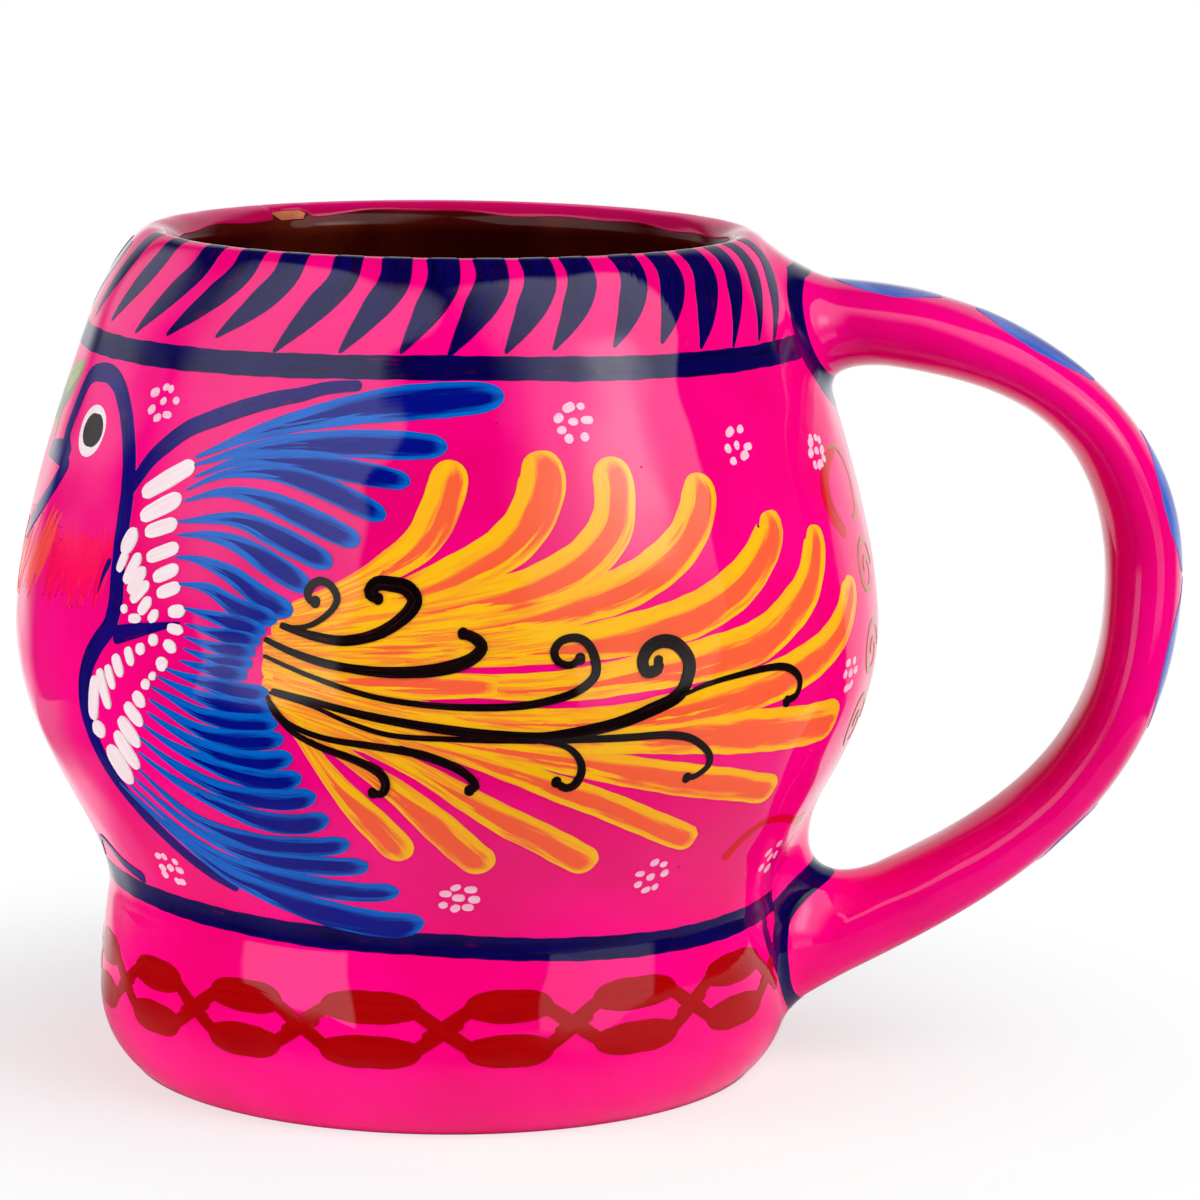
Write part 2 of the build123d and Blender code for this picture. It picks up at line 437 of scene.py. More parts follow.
def srgb(red, green, blue):
    """A colour for a node, from 0 to 255 values as seen on a screen."""
    values = []
    for level in (red, green, blue):
        share = level / 255
        values.append(share / 12.92 if share <= 0.04045 else ((share + 0.055) / 1.055) ** 2.4)
    return (*values, 1.0)


PINK = srgb(250, 0, 131)
DEEP_PINK = srgb(236, 0, 112)
NAVY = srgb(8, 2, 82)
DARK_NAVY = srgb(3, 0, 48)
LIGHT_BLUE = srgb(0, 102, 202)
DARK_BLUE = srgb(2, 12, 128)
YELLOW = srgb(255, 190, 22)
ORANGE = srgb(250, 96, 58)
RED = srgb(166, 2, 5)
DARK_RED = srgb(138, 0, 5)
BLACK = srgb(9, 3, 6)
SOFT_BLACK = srgb(30, 12, 10)
WHITE = srgb(246, 232, 234)
PALE_PINK = srgb(249, 214, 226)
OLIVE = srgb(150, 150, 52)
GREEN = srgb(60, 104, 40)
GOLD = srgb(196, 110, 40)
BROWN = srgb(92, 28, 12)
DARK_BROWN = srgb(62, 7, 5)
CLAY = srgb(172, 96, 66)
PALE_CLAY = srgb(200, 124, 90)
# The darker pink of the painted shade inside the lip
SHADED_PINK = srgb(150, 8, 46)


def new_material(name, roughness, coat=1.0):
    """A material with a glossy lacquer over its shader, and its node tree."""
    material = bpy.data.materials.new(name)
    material.use_nodes = True
    tree = material.node_tree
    shader = tree.nodes["Principled BSDF"]
    shader.inputs["Roughness"].default_value = roughness
    shader.inputs["Specular IOR Level"].default_value = 0.0
    shader.inputs["Coat Weight"].default_value = coat
    shader.inputs["Coat Roughness"].default_value = COAT_ROUGHNESS
    shader.inputs["Coat IOR"].default_value = COAT_INDEX
    return material, tree, shader


def node(tree, kind, inputs=None, **settings):
    """A node with its settings, and its inputs linked or set."""
    made = tree.nodes.new("ShaderNode" + kind)
    for name, value in settings.items():
        setattr(made, name, value)
    for key, value in (inputs or {}).items():
        if isinstance(value, bpy.types.NodeSocket):
            tree.links.new(value, made.inputs[key])
        else:
            made.inputs[key].default_value = value
    return made


def calc(tree, operation, a, b=0.0):
    """The result of a sum on two values."""
    return node(tree, "Math", {0: a, 1: b}, operation=operation).outputs[0]


def times(tree, a, b):
    """One value times another."""
    return calc(tree, "MULTIPLY", a, b)


def ease(tree, value, low, high, start=0.0, end=1.0):
    """A value eased from start to end as it goes from low to high."""
    inputs = {"Value": value, "From Min": low, "From Max": high, "To Min": start, "To Max": end}
    return node(tree, "MapRange", inputs, interpolation_type="SMOOTHSTEP").outputs[0]


def mix(tree, share, a, b):
    """Colour a turning into colour b as the share goes to one."""
    return node(tree, "Mix", {0: share, 6: a, 7: b}, data_type="RGBA").outputs[2]


def noise(tree, vector, scale, detail=3.0):
    """Noise from zero to one."""
    return node(tree, "TexNoise", {"Vector": vector, "Scale": scale, "Detail": detail}).outputs[0]


def object_place(tree):
    """The place on the object in metres."""
    return node(tree, "TexCoord").outputs["Object"]


def add_bump(tree, shader, height, strength, depth, coat_too=True):
    """Bumps the shader and its lacquer by a height."""
    bump = node(tree, "Bump", {"Height": height, "Strength": strength, "Distance": depth * MM}).outputs[0]
    tree.links.new(bump, shader.inputs["Normal"])
    if coat_too:
        tree.links.new(bump, shader.inputs["Coat Normal"])


def gloss_waves(tree):
    """The slow unevenness of the mug's surface, the same under every enamel."""
    return noise(tree, object_place(tree), WAVES, 1.0)


def enamel_material(name):
    """Pink enamel: faint brushing, thin and thick patches, dust specks, painted shade inside the lip and a
    wavy gloss.
    """
    material, tree, shader = new_material(name, 0.38)
    place = object_place(tree)
    patches = noise(tree, place, 60.0)
    stretched = node(tree, "Mapping", {"Vector": place, "Scale": (60.0, 60.0, 420.0)}).outputs[0]
    brushing = noise(tree, stretched, 1.0, 4.0)
    tone = mix(tree, ease(tree, patches, 0.35, 0.75), PINK, DEEP_PINK)
    tone = mix(tree, ease(tree, brushing, 0.56, 0.8, 0.0, 0.35), tone, DEEP_PINK)
    grains = node(tree, "TexVoronoi", {"Vector": place, "Scale": 240.0}).outputs["Distance"]
    speck = ease(tree, grains, 0.035, 0.06, 1.0, 0.0)
    rare = ease(tree, noise(tree, place, 90.0, 1.0), 0.6, 0.64)
    speck = times(tree, speck, rare)
    tone = mix(tree, times(tree, speck, 0.7), tone, DARK_RED)
    flat = node(tree, "VectorMath", {0: place, 1: (1, 1, 0)}, operation="MULTIPLY").outputs[0]
    radius = node(tree, "VectorMath", {0: flat}, operation="LENGTH").outputs["Value"]
    # Painted shade: the enamel darkens inside the lip towards the mouth
    tone = mix(tree, ease(tree, radius, LIP_SHADE_RADIUS * MM, LIP_RADIUS * MM, 0.75, 0.0), tone, SHADED_PINK)
    tree.links.new(tone, shader.inputs["Base Color"])
    tree.links.new(ease(tree, brushing, 0.3, 0.7, 0.30, 0.44), shader.inputs["Roughness"])
    height = calc(tree, "ADD", gloss_waves(tree), times(tree, speck, 0.15))
    add_bump(tree, shader, height, 1.0, WAVE_HEIGHT)
    return material


def uv_values(tree, name):
    """The two values that a stroke carries under this name."""
    uv = node(tree, "UVMap", uv_map=name).outputs[0]
    return node(tree, "SeparateXYZ", {0: uv}).outputs


def brush_parts(tree):
    """A stroke's shares along and across, distance to its tip, core's place and half width, and streaks."""
    brush, dab, core = (uv_values(tree, name) for name in ("brush", "dab", "core"))
    distance = times(tree, times(tree, brush[0], dab[1]), 14.0)
    across = times(tree, brush[1], 7.0)
    seed = times(tree, dab[0], 40.0)
    place = node(tree, "CombineXYZ", {0: distance, 1: across, 2: seed}).outputs[0]
    streaks = noise(tree, place, 1.0, 3.0)
    to_tip = times(tree, calc(tree, "SUBTRACT", 1.0, brush[0]), times(tree, dab[1], 100.0))
    return brush[0], brush[1], to_tip, core[0], core[1], streaks


def finish_paint(tree, shader, tone, streaks):
    """Gives brushed enamel its colour, and a gloss that follows its streaks."""
    tree.links.new(tone, shader.inputs["Base Color"])
    tree.links.new(ease(tree, streaks, 0.3, 0.7, 0.28, 0.42), shader.inputs["Roughness"])
    height = calc(tree, "ADD", gloss_waves(tree), times(tree, streaks, STREAK_SHARE))
    add_bump(tree, shader, height, 1.0, WAVE_HEIGHT)


def paint_material(name, colour, shade, thin=0.2, under=PINK):
    """One colour of brushed enamel, streaked along the stroke and thin where the brush ran dry."""
    material, tree, shader = new_material(name, 0.36)
    streaks = brush_parts(tree)[-1]
    tone = mix(tree, ease(tree, streaks, 0.38, 0.72), colour, shade)
    worn = ease(tree, noise(tree, object_place(tree), 420.0, 4.0), 0.5, 0.78, 0.0, thin)
    dry = times(tree, ease(tree, streaks, 0.5, 0.75), worn)
    tone = mix(tree, dry, tone, under)
    finish_paint(tree, shader, tone, streaks)
    return material


def two_tone_material(name, edge, core, start, soft, root=0.3):
    """A brush loaded with two colours: the core colour opens out along the stroke inside the edge's."""
    material, tree, shader = new_material(name, 0.36)
    along, over, to_tip, middle, half, streaks = brush_parts(tree)
    sway = times(tree, calc(tree, "SUBTRACT", streaks, 0.5), 0.6)
    away = calc(tree, "ABSOLUTE", calc(tree, "ADD", calc(tree, "SUBTRACT", over, middle), sway))
    opened = ease(tree, calc(tree, "ADD", along, sway), start, start + 0.4, 0.03, 1.0)
    reach = calc(tree, "DIVIDE", away, times(tree, half, opened))
    ahead = ease(tree, to_tip, 0.0, 3.2, 1.15, 0.0)
    squares = calc(tree, "ADD", calc(tree, "POWER", reach, 2.0), calc(tree, "POWER", ahead, 2.0))
    reach = calc(tree, "SQRT", squares)
    share = ease(tree, reach, 1.0 - soft, 1.0 + soft, 1.0, 0.0)
    tone = mix(tree, share, edge, core)
    streaked = times(tree, ease(tree, streaks, 0.42, 0.58), ease(tree, along, 0.25, 0.7, root, 0.12))
    tone = mix(tree, streaked, tone, core)
    finish_paint(tree, shader, tone, streaks)
    return material


def glaze_material(name):
    """Dark brown glaze that runs thinner and redder in places."""
    material, tree, shader = new_material(name, 0.3, 0.5)
    place = object_place(tree)
    runs = node(tree, "Mapping", {"Vector": place, "Scale": (90.0, 90.0, 25.0)}).outputs[0]
    tone = mix(tree, ease(tree, noise(tree, runs, 1.0, 4.0), 0.4, 0.75), DARK_BROWN, BROWN)
    tree.links.new(tone, shader.inputs["Base Color"])
    add_bump(tree, shader, noise(tree, place, 150.0, 2.0), 0.3, 0.15)
    return material


def clay_material(name, colour, pale, coat):
    """Fired clay with fine grit and turning lines."""
    material, tree, shader = new_material(name, 0.8, coat)
    place = object_place(tree)
    tone = mix(tree, ease(tree, noise(tree, place, 260.0, 5.0), 0.35, 0.7), colour, pale)
    rings = node(tree, "Mapping", {"Vector": place, "Scale": (30.0, 30.0, 900.0)}).outputs[0]
    height = calc(tree, "ADD", noise(tree, place, 1400.0, 2.0), noise(tree, rings, 1.0, 2.0))
    tree.links.new(tone, shader.inputs["Base Color"])
    tree.links.new(ease(tree, noise(tree, place, 500.0), 0.3, 0.7, 0.7, 0.9), shader.inputs["Roughness"])
    add_bump(tree, shader, height, 0.5, 0.1, False)
    return material


pink_enamel = enamel_material("pink_enamel")
brown_glaze = glaze_material("brown_glaze")
fired_clay = clay_material("fired_clay", CLAY, PALE_CLAY, 0.0)
navy_paint = paint_material("navy_paint", NAVY, DARK_NAVY, 0.15)
red_paint = paint_material("red_paint", RED, srgb(155, 0, 4), 0.08)
black_paint = paint_material("black_paint", BLACK, SOFT_BLACK, 0.1)
white_paint = paint_material("white_paint", WHITE, PALE_PINK, 0.1)
petal_paint = paint_material("petal_paint", srgb(222, 6, 18), srgb(188, 0, 10), 0.1)
dot_paint = paint_material("dot_paint", srgb(250, 206, 222), srgb(248, 166, 200), 0.3)
indigo_paint = paint_material("indigo_paint", srgb(24, 6, 116), srgb(10, 2, 80), 0.15)
coral_paint = paint_material("coral_paint", srgb(253, 84, 70), srgb(250, 44, 80), 0.5)
watery_paint = paint_material("watery_paint", srgb(253, 2, 84), srgb(252, 0, 104), 0.6)
green_paint = two_tone_material("green_paint", OLIVE, GREEN, 0.1, 0.4)
gold_paint = paint_material("gold_paint", GOLD, srgb(150, 60, 30), 0.4)
blue_paint = two_tone_material("blue_paint", LIGHT_BLUE, DARK_BLUE, 0.25, 0.4)
leaf_paint = two_tone_material("leaf_paint", srgb(70, 112, 205), srgb(32, 62, 176), 0.1, 0.5)
tail_paint = two_tone_material("tail_paint", YELLOW, ORANGE, 0.3, 0.35, 0.65)
flower_paint = two_tone_material("flower_paint", YELLOW, RED, 0.1, 0.35)

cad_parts["clay_body"].data.materials.clear()
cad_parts["clay_body"].data.materials.append(fired_clay)


# The coats on the body

BODY_ANGLES = np.arange(-180, 180, 1.2)
CHIP_ANGLE, CHIP_HALF, CHIP_DEPTH = -140.8, 4.4, 1.3
EDGE_ROUND = 0.35
LINING_TUCK, LINING_DEPTH, LINING_THICKNESS = 3.0, 0.14, 0.25
CHIP_BARE = 0.55
BASE_FILL, BASE_FILL_ARC = 1.0, 6.0
HEM = 0.02
ENAMEL_END = 1.5

# Rows of the body's coat: from one share of the way up to another, and how many
COAT_ROWS = ((0, 0.01, 6), (0.01, 0.88, 130), (0.88, 0.99, 50), (0.99, 1, 8))


def chipped(angle):
    """One within the chip in the lip's enamel, easing to zero beside it."""
    return np.clip(1.6 - (np.abs(angle - CHIP_ANGLE) / CHIP_HALF) ** 4, 0, 1)


def enamel_edge(angle):
    """Where the enamel ends inside the lip: a wandering line with one chip down to the clay."""
    turn = np.radians(angle)
    wander = 0.35 * np.sin(3 * turn + 1) + 0.25 * np.sin(7 * turn) + 0.15 * np.sin(17 * turn + 2)
    return MOUTH_ARC - ENAMEL_END + wander - CHIP_DEPTH * chipped(angle)


def make_body_coat():
    """The enamel shell on the outside and over the lip, with rounded edges."""
    start, end = HEM, enamel_edge(BODY_ANGLES)
    spread = joined([np.linspace(*rows) for rows in COAT_ROWS])
    arcs = start + (end - start) * spread[:, None]
    dip = np.clip(1 - (end - arcs) / EDGE_ROUND, 0, 1)
    lifts = -COAT * (1 - np.sqrt(1 - dip**2))
    outer = wall.point(BODY_ANGLES, arcs, lifts)
    back = start + (end - start) * np.linspace(1, 0, 42)[1:-1, None]
    fill = BASE_FILL * np.clip(1 - back / BASE_FILL_ARC, 0, 1)
    inner = wall.point(BODY_ANGLES, back, -COAT - 2 * SWELL - fill)
    grid = np.concatenate((outer, inner))
    faces = grid_faces(*grid.shape[:2], True, True)
    new_piece("body_coat", grid.reshape(-1, 3), faces, pink_enamel, ["body_enamel"])


def make_lining():
    """The brown glaze, from the middle of the floor up under the lip's enamel."""
    angles = np.arange(-180, 180, 2.0)
    top = lining.arc[-1] - 1
    arcs = np.linspace(0, top, 120)[:, None] * np.ones_like(angles)
    surface = lining.point(angles, arcs, np.zeros_like(arcs))
    tucked = MOUTH_ARC - np.linspace(0, LINING_TUCK, 8)[:, None] * (1 - CHIP_BARE * chipped(angles))
    neck = wall.point(angles, tucked, np.full_like(tucked, -LINING_DEPTH))
    rim = wall.point(angles, tucked[::-1], np.full_like(tucked, -COAT))
    back = np.linspace(top, 0, 40)[:, None] * np.ones_like(angles)
    under = lining.point(angles, back, np.full_like(back, LINING_THICKNESS))
    grid = np.concatenate((surface, neck, rim, under))
    faces = tube_faces(*grid.shape[:2])
    new_piece("lining", grid.reshape(-1, 3), faces, brown_glaze, ["inner_glaze"])


# The handle's coat, which runs out onto the body in a fillet at both joints

TURNS = np.linspace(-180, 180, 2 * HALF_TURNS, endpoint=False)

# Heights between which the fillets end on the body, rows of points, depths of the ends, and searches
LOWEST_DROP, HIGHEST_DROP = 1.0, HEIGHT - 0.6
HANDLE_ROWS, FILLET_ROWS = 150, 36
FILLET_TUCK, TUCK_DEPTH, SINK_DEPTH = 1.04, 0.03, 1.2
JOINT_REACH, UNDER_SKIN = 30.0, 4.0
HALVINGS, SLOPE_ROUNDS = 40, 100
BAND_SPREAD = 12


def drop_on_body(points):
    """Points moved radially onto the finished body."""
    z = np.clip(points[..., 2], LOWEST_DROP, HIGHEST_DROP)
    flat = np.hypot(points[..., 0], points[..., 1])
    turn = np.arctan2(points[..., 0], -points[..., 1])
    reach = (wall.radius_at(z) + swell(turn, z)) / flat
    return np.stack((points[..., 0] * reach, points[..., 1] * reach, z), axis=-1)


def round_section(outer, side, inner):
    """A value at each turn, passing smoothly through those on the outer, side and inner lines."""
    c = np.cos(np.radians(TURNS))
    return side + (outer - inner) / 2 * c + ((outer + inner) / 2 - side) * c**2


class Joint:
    """One end of the handle: a curve for each turn from the bar, past the corner, onto the body."""

    def __init__(self, inside, outside, run, spread):
        low, high = np.full_like(TURNS, inside), np.full_like(TURNS, outside)
        for _ in range(HALVINGS):
            middle = (low + high) / 2
            p = bar.at_turn(middle, TURNS, 0.0)
            buried = np.hypot(p[:, 0], p[:, 1]) < wall.radius_at(p[:, 2])
            low, high = np.where(buried, middle, low), np.where(buried, high, middle)
        self.start = high + np.sign(outside - inside) * round_section(*run)
        self.corner = bar.at_turn(high, TURNS, 0.0)
        self.begin = bar.at_turn(self.start, TURNS, 0.0)
        away = self.corner - bar.at_turn(high, TURNS, -UNDER_SKIN)
        out = drop_on_body(self.corner)
        out[:, 2] = 0
        out /= np.linalg.norm(out, axis=1)[:, None]
        away -= out * np.sum(away * out, axis=1)[:, None]
        self.away = away / np.linalg.norm(away, axis=1)[:, None]
        self.spread = round_section(*spread)[:, None]
        self.end = self.on_body(1.0)
        self.off_bar = self.begin + (self.corner - self.begin) * 2 / 3
        slope = (self.on_body(1.02) - self.on_body(0.98)) / 0.04
        for _ in range(SLOPE_ROUNDS):
            slope = (np.roll(slope, 1, axis=0) + 2 * slope + np.roll(slope, -1, axis=0)) / 4
        self.off_body = self.end - slope * 2 / 3

    def on_body(self, t):
        """Points on the body at a share of the fillet's spread from the corner."""
        return drop_on_body(self.corner + self.away * self.spread * t)

    def flare(self, share):
        """Points for a share of the way at each turn: 0 on the bar, 1 on the body, and beyond."""
        t = np.broadcast_to(share, TURNS.shape)[:, None]
        s = 1 - t
        fillet = (self.begin * s**3 + self.off_bar * 3 * s**2 * t
                  + self.off_body * 3 * s * t**2 + self.end * t**3)
        return np.where(t <= 1, fillet, self.on_body(t))


# Each joint's run along the bar and spread over the body, on the outer, side and inner lines
upper_joint = Joint(0.0, JOINT_REACH, (5.5, 5.5, 8.0), (5.5, 4.0, 3.8))
lower_joint = Joint(bar.length, bar.length - JOINT_REACH, (3.0, 5.5, 12.0), (2.5, 3.5, 15.0))


def make_handle_coat():
    """The enamel on the handle, one closed skin from inside the shoulder round to inside the foot."""
    shares = np.linspace(0, 1, FILLET_ROWS)
    upper = [upper_joint.flare(t) for t in shares[::-1]]
    lower = [lower_joint.flare(t) for t in shares]
    between = []
    for t in np.linspace(0, 1, HANDLE_ROWS)[1:-1]:
        between.append(bar.at_turn(upper_joint.start * (1 - t) + lower_joint.start * t, TURNS, 0.0))
    head, tail = upper_joint.flare(FILLET_TUCK), lower_joint.flare(FILLET_TUCK)
    tuck, sink = (1 - np.array((depth, depth, 0)) / SHOULDER_RADIUS for depth in (TUCK_DEPTH, SINK_DEPTH))
    grid = np.stack([head * sink, head * tuck] + upper + between + lower + [tail * tuck, tail * sink])
    new_piece("handle_coat", grid.reshape(-1, 3), tube_faces(*grid.shape[:2]), pink_enamel,
              ["handle_enamel", "handle", "upper_handle_joint", "lower_handle_joint"])


def make_joint_ring(name, joint, start, end, band_turn, band_share):
    """A navy brush line round one joint of the handle, drawn out on both sides to meet the body's band."""
    meeting = band_share * np.exp(-((np.abs(TURNS) - band_turn) / BAND_SPREAD) ** 2)
    shares = np.linspace(round_section(*start), round_section(*end) + meeting, len(ACROSS))
    sheet = np.stack([joint.flare(share) for share in shares], axis=1)
    round_way = np.roll(sheet, -1, axis=0) - np.roll(sheet, 1, axis=0)
    over_way = np.gradient(sheet, axis=1)
    normal = np.cross(round_way, over_way)
    normal /= np.linalg.norm(normal, axis=2)[:, :, None]
    normal *= np.sign(np.sum(normal[:, -1] * sheet[:, -1] * (1, 1, 0)))
    lifts = np.where(ON_TOP, RING_LIFT, BURIED)
    grid = sheet + normal * lifts[None, :, None]
    rows, columns = grid.shape[:2]
    faces = grid_faces(rows, columns, True, False)
    steady = np.tile((0.5, 0.6), (rows * columns, 1))
    layers = [("brush", brush_values(np.linspace(0, 1, rows))), ("dab", steady), ("core", steady)]
    new_piece(name, grid.reshape(-1, 3), faces, navy_paint,
              normals=normal.reshape(-1, 3), layers=layers)


make_body_coat()
make_lining()
make_handle_coat()
make_joint_ring("upper_handle_ring", upper_joint, (0.26, 0.6, 0.6), (0.47, 1.0, 1.35), 100, 0.2)
make_joint_ring("lower_handle_ring", lower_joint, (0.02, 0.53, 0.27), (0.52, 0.89, 0.54), 110, 0.5)


# Shapes of strokes: relative widths along their length

FEATHER = (0.08, 0.36, 0.66, 0.92, 1.0, 0.8)
TAIL_FEATHER = (0.34, 0.42, 0.56, 0.78, 0.95, 1.0, 0.92)
COMMA = (0.95, 1.0, 0.95, 0.62, 0.1)
SLIM_COMMA = (0.9, 1.0, 0.85, 0.45, 0.12)
POINTED = (1.0, 0.85, 0.5, 0.15)
HUB = (0.7, 1.0, 0.6)
DASH = (0.8, 1.0, 0.9)
LEAF = (0.2, 0.8, 1.0, 0.8, 0.2)
CURL = (0.5, 0.75, 0.9, 1.1, 1.25, 1.0)

# Strokes hanging from the lip: angle of the head on the lip, and angle of the tail on the shoulder
RIM_STROKES = [
    (-70.5, -75.6), (-59, -65.5), (-46.2, -55.8), (-36.3, -47.3), (-27.2, -36.6), (-16.7, -25.6),
    (-7.8, -14.9), (0.35, -5.6), (8.5, 1.6), (16.7, 10.1), (24.1, 17.5), (34, 27.4), (42, 35.9),
    (50.3, 43.4), (58.4, 50.7), (65.8, 57.9), (74.3, 62.3),
]
RIM_STROKE_WIDTH = 3.3
RIM_TAIL_DROP = 11.5
RIM_MIDDLE_DROP = 7
RIM_SLIM_ANGLES, RIM_SLIM_WIDTH, RIM_SLIM_DROP = (55, 90), 0.8, 0.8

# How far past the top of the lip a stroke has its head and its bend
RIM_IN_FRONT = (0.3, -3.5)
RIM_BEHIND = (-2.5, -5.0)
RIM_ANGLES_BEHIND = (99.0, 282.0)


def make_rim_strokes():
    """Comma strokes hanging from the lip all the way round."""
    heads = list(RIM_STROKES)
    angle, last = RIM_ANGLES_BEHIND
    while angle < last:
        heads.append((angle, angle - chance.uniform(6.5, 8.5)))
        angle += chance.uniform(9.0, 10.2)
    paint = Paint(wall, DAB_LIFT)
    for head, tail in heads:
        drop = RIM_TAIL_DROP + chance.uniform(-0.5, 0.7)
        top, bend = RIM_IN_FRONT if abs(head) < 90 else RIM_BEHIND
        width, shape = RIM_STROKE_WIDTH * chance.uniform(0.94, 1.06), COMMA
        if RIM_SLIM_ANGLES[0] < head < RIM_SLIM_ANGLES[1]:
            drop, width, shape = drop + RIM_SLIM_DROP, RIM_SLIM_WIDTH * width, SLIM_COMMA
        line = [(head, LIP_ARC + top), (head + 0.3, LIP_ARC + bend),
                (head * 0.65 + tail * 0.35, LIP_ARC - RIM_MIDDLE_DROP), (tail, LIP_ARC - drop)]
        paint.stroke(line, width, shape, (0.8, 0.3))
    paint.piece("rim_strokes", navy_paint, "navy_enamel")


# Lines round the body, by angle and height
SHOULDER_BAND = [(102, 81.2), (140, 81.6), (180, 81.8), (225, 81.4), (280, 81.2), (320, 81.4), (360, 82.0),
                 (390, 81.6), (412, 81.4), (440, 81.4)]
FOOT_BAND = [(100, 19.6), (140, 20.0), (180, 20.6), (225, 21.6), (270, 22.4), (295, 22.5), (320, 22.1),
             (340, 21.6), (360, 21.3), (380, 20.4), (400, 19.8), (420, 19.8), (440, 20.2)]
BAND_WIDTH = 2.6


def make_band(name, places):
    """A navy line round the body, from one side of the handle to the other."""
    paint = Paint(wall, BAND_LIFT)
    paint.stroke(on_wall(places), BAND_WIDTH, caps=(0.6, 0.6), ragged=0.02)
    paint.piece(name, navy_paint, "navy_enamel")


CHAIN_CROSSINGS = [-62.5, -42, -21.5, 1.5, 22.5, 45, 68]
CHAIN_Z = 12.2
CHAIN_LINKS_BEHIND = 11
LEAF_WIDTH, LEAF_RISE = 3.55, 2.35
CHAIN_LEAF = (0.5, 0.92, 1.0, 0.92, 0.5)
LEAF_END, LEAF_BEND = 3.2, 6

# Angles behind the handle's foot, where no leaf is painted
HANDLE_GAP = (78, 100)
CROSS_WIDTH = 1.5


def make_chain():
    """A red chain round the foot: pairs of full leaves, joined by thin crossing strokes."""
    behind = np.linspace(CHAIN_CROSSINGS[-1], CHAIN_CROSSINGS[0] + 360, CHAIN_LINKS_BEHIND + 1)
    crossings = CHAIN_CROSSINGS + list(behind[1:])
    paint = Paint(wall, DAB_LIFT)
    for left, right in zip(crossings, crossings[1:]):
        middle = (left + right) / 2
        rise = CHAIN_Z + 0.6 * np.sin(np.radians(middle))
        for side in (1, -1):
            inner, outer = rise + side * 0.8 * LEAF_RISE, rise + side * LEAF_RISE
            if not HANDLE_GAP[0] < middle < HANDLE_GAP[1]:
                leaf = [(left + LEAF_END, inner), (left + LEAF_BEND, outer), (middle, outer),
                        (right - LEAF_BEND, outer), (right - LEAF_END, inner)]
                paint.stroke(on_wall(leaf), LEAF_WIDTH, CHAIN_LEAF, (1.3, 1.3))
            for crossing, way in ((left, 1), (right, -1)):
                cross = [(crossing - 3 * way, rise - 1.2 * side), (crossing + 4.6 * way, inner + 0.3 * side)]
                paint.stroke(on_wall(cross), CROSS_WIDTH, caps=(0.5, 0.5))
    paint.piece("foot_chain", red_paint, "red_enamel")


make_rim_strokes()
make_band("shoulder_band", SHOULDER_BAND)
make_band("foot_band", FOOT_BAND)
make_chain()


# The bird: widths, shapes or cores, and places by angle and height, of its outline, wing and tail

BIRD_LINES = [
    (2.1, (1, 1, 1.05, 1, 0.65), [
        (-66, 69), (-68.9, 71), (-68.4, 74.1), (-66.5, 77.6), (-61, 78.5), (-57, 78), (-53.9, 76.6),
        (-50.8, 74.1), (-48.3, 70.8), (-47.1, 67.8), (-46.6, 65.3), (-46.2, 62), (-45.7, 58.7),
        (-45.4, 56.2), (-46.1, 53.7), (-48.3, 51.6), (-50.3, 49.1), (-51.4, 46.2), (-51.6, 43.2),
        (-50.8, 39.9), (-49.3, 37), (-46.8, 34.1), (-43.8, 31.6), (-40.3, 29.3), (-36.3, 27.4),
        (-31.7, 26)]),
    (3.0, (1, 0.9, 0.6), [(-66, 69.2), (-71, 69.3), (-77, 69)]),
    (2.0, (1, 1, 0.7), [(-65.4, 69.1), (-67.4, 67), (-69.9, 65.1), (-72.9, 63.2), (-76.5, 61.2),
                        (-80, 59.1)]),
    (0.8, POINTED, [(-47.7, 60.5), (-48.7, 58.5), (-49.3, 56.6)]),
    (2.0, POINTED, [(-45.3, 52.8), (-40, 54), (-33.7, 55.3)]),
    (1.9, (0.8, 1, 0.9, 0.6), [
        (-46.8, 67.4), (-43.8, 70.8), (-41.3, 72.6), (-37.8, 74.5), (-33.7, 75.8), (-28.7, 77.2),
        (-23.7, 78.3), (-20, 78.9), (-16, 79.7), (-10.9, 80.1)]),
    (1.4, POINTED, [(-55, 24.2), (-62, 25.2), (-69, 27), (-75, 24)]),
]

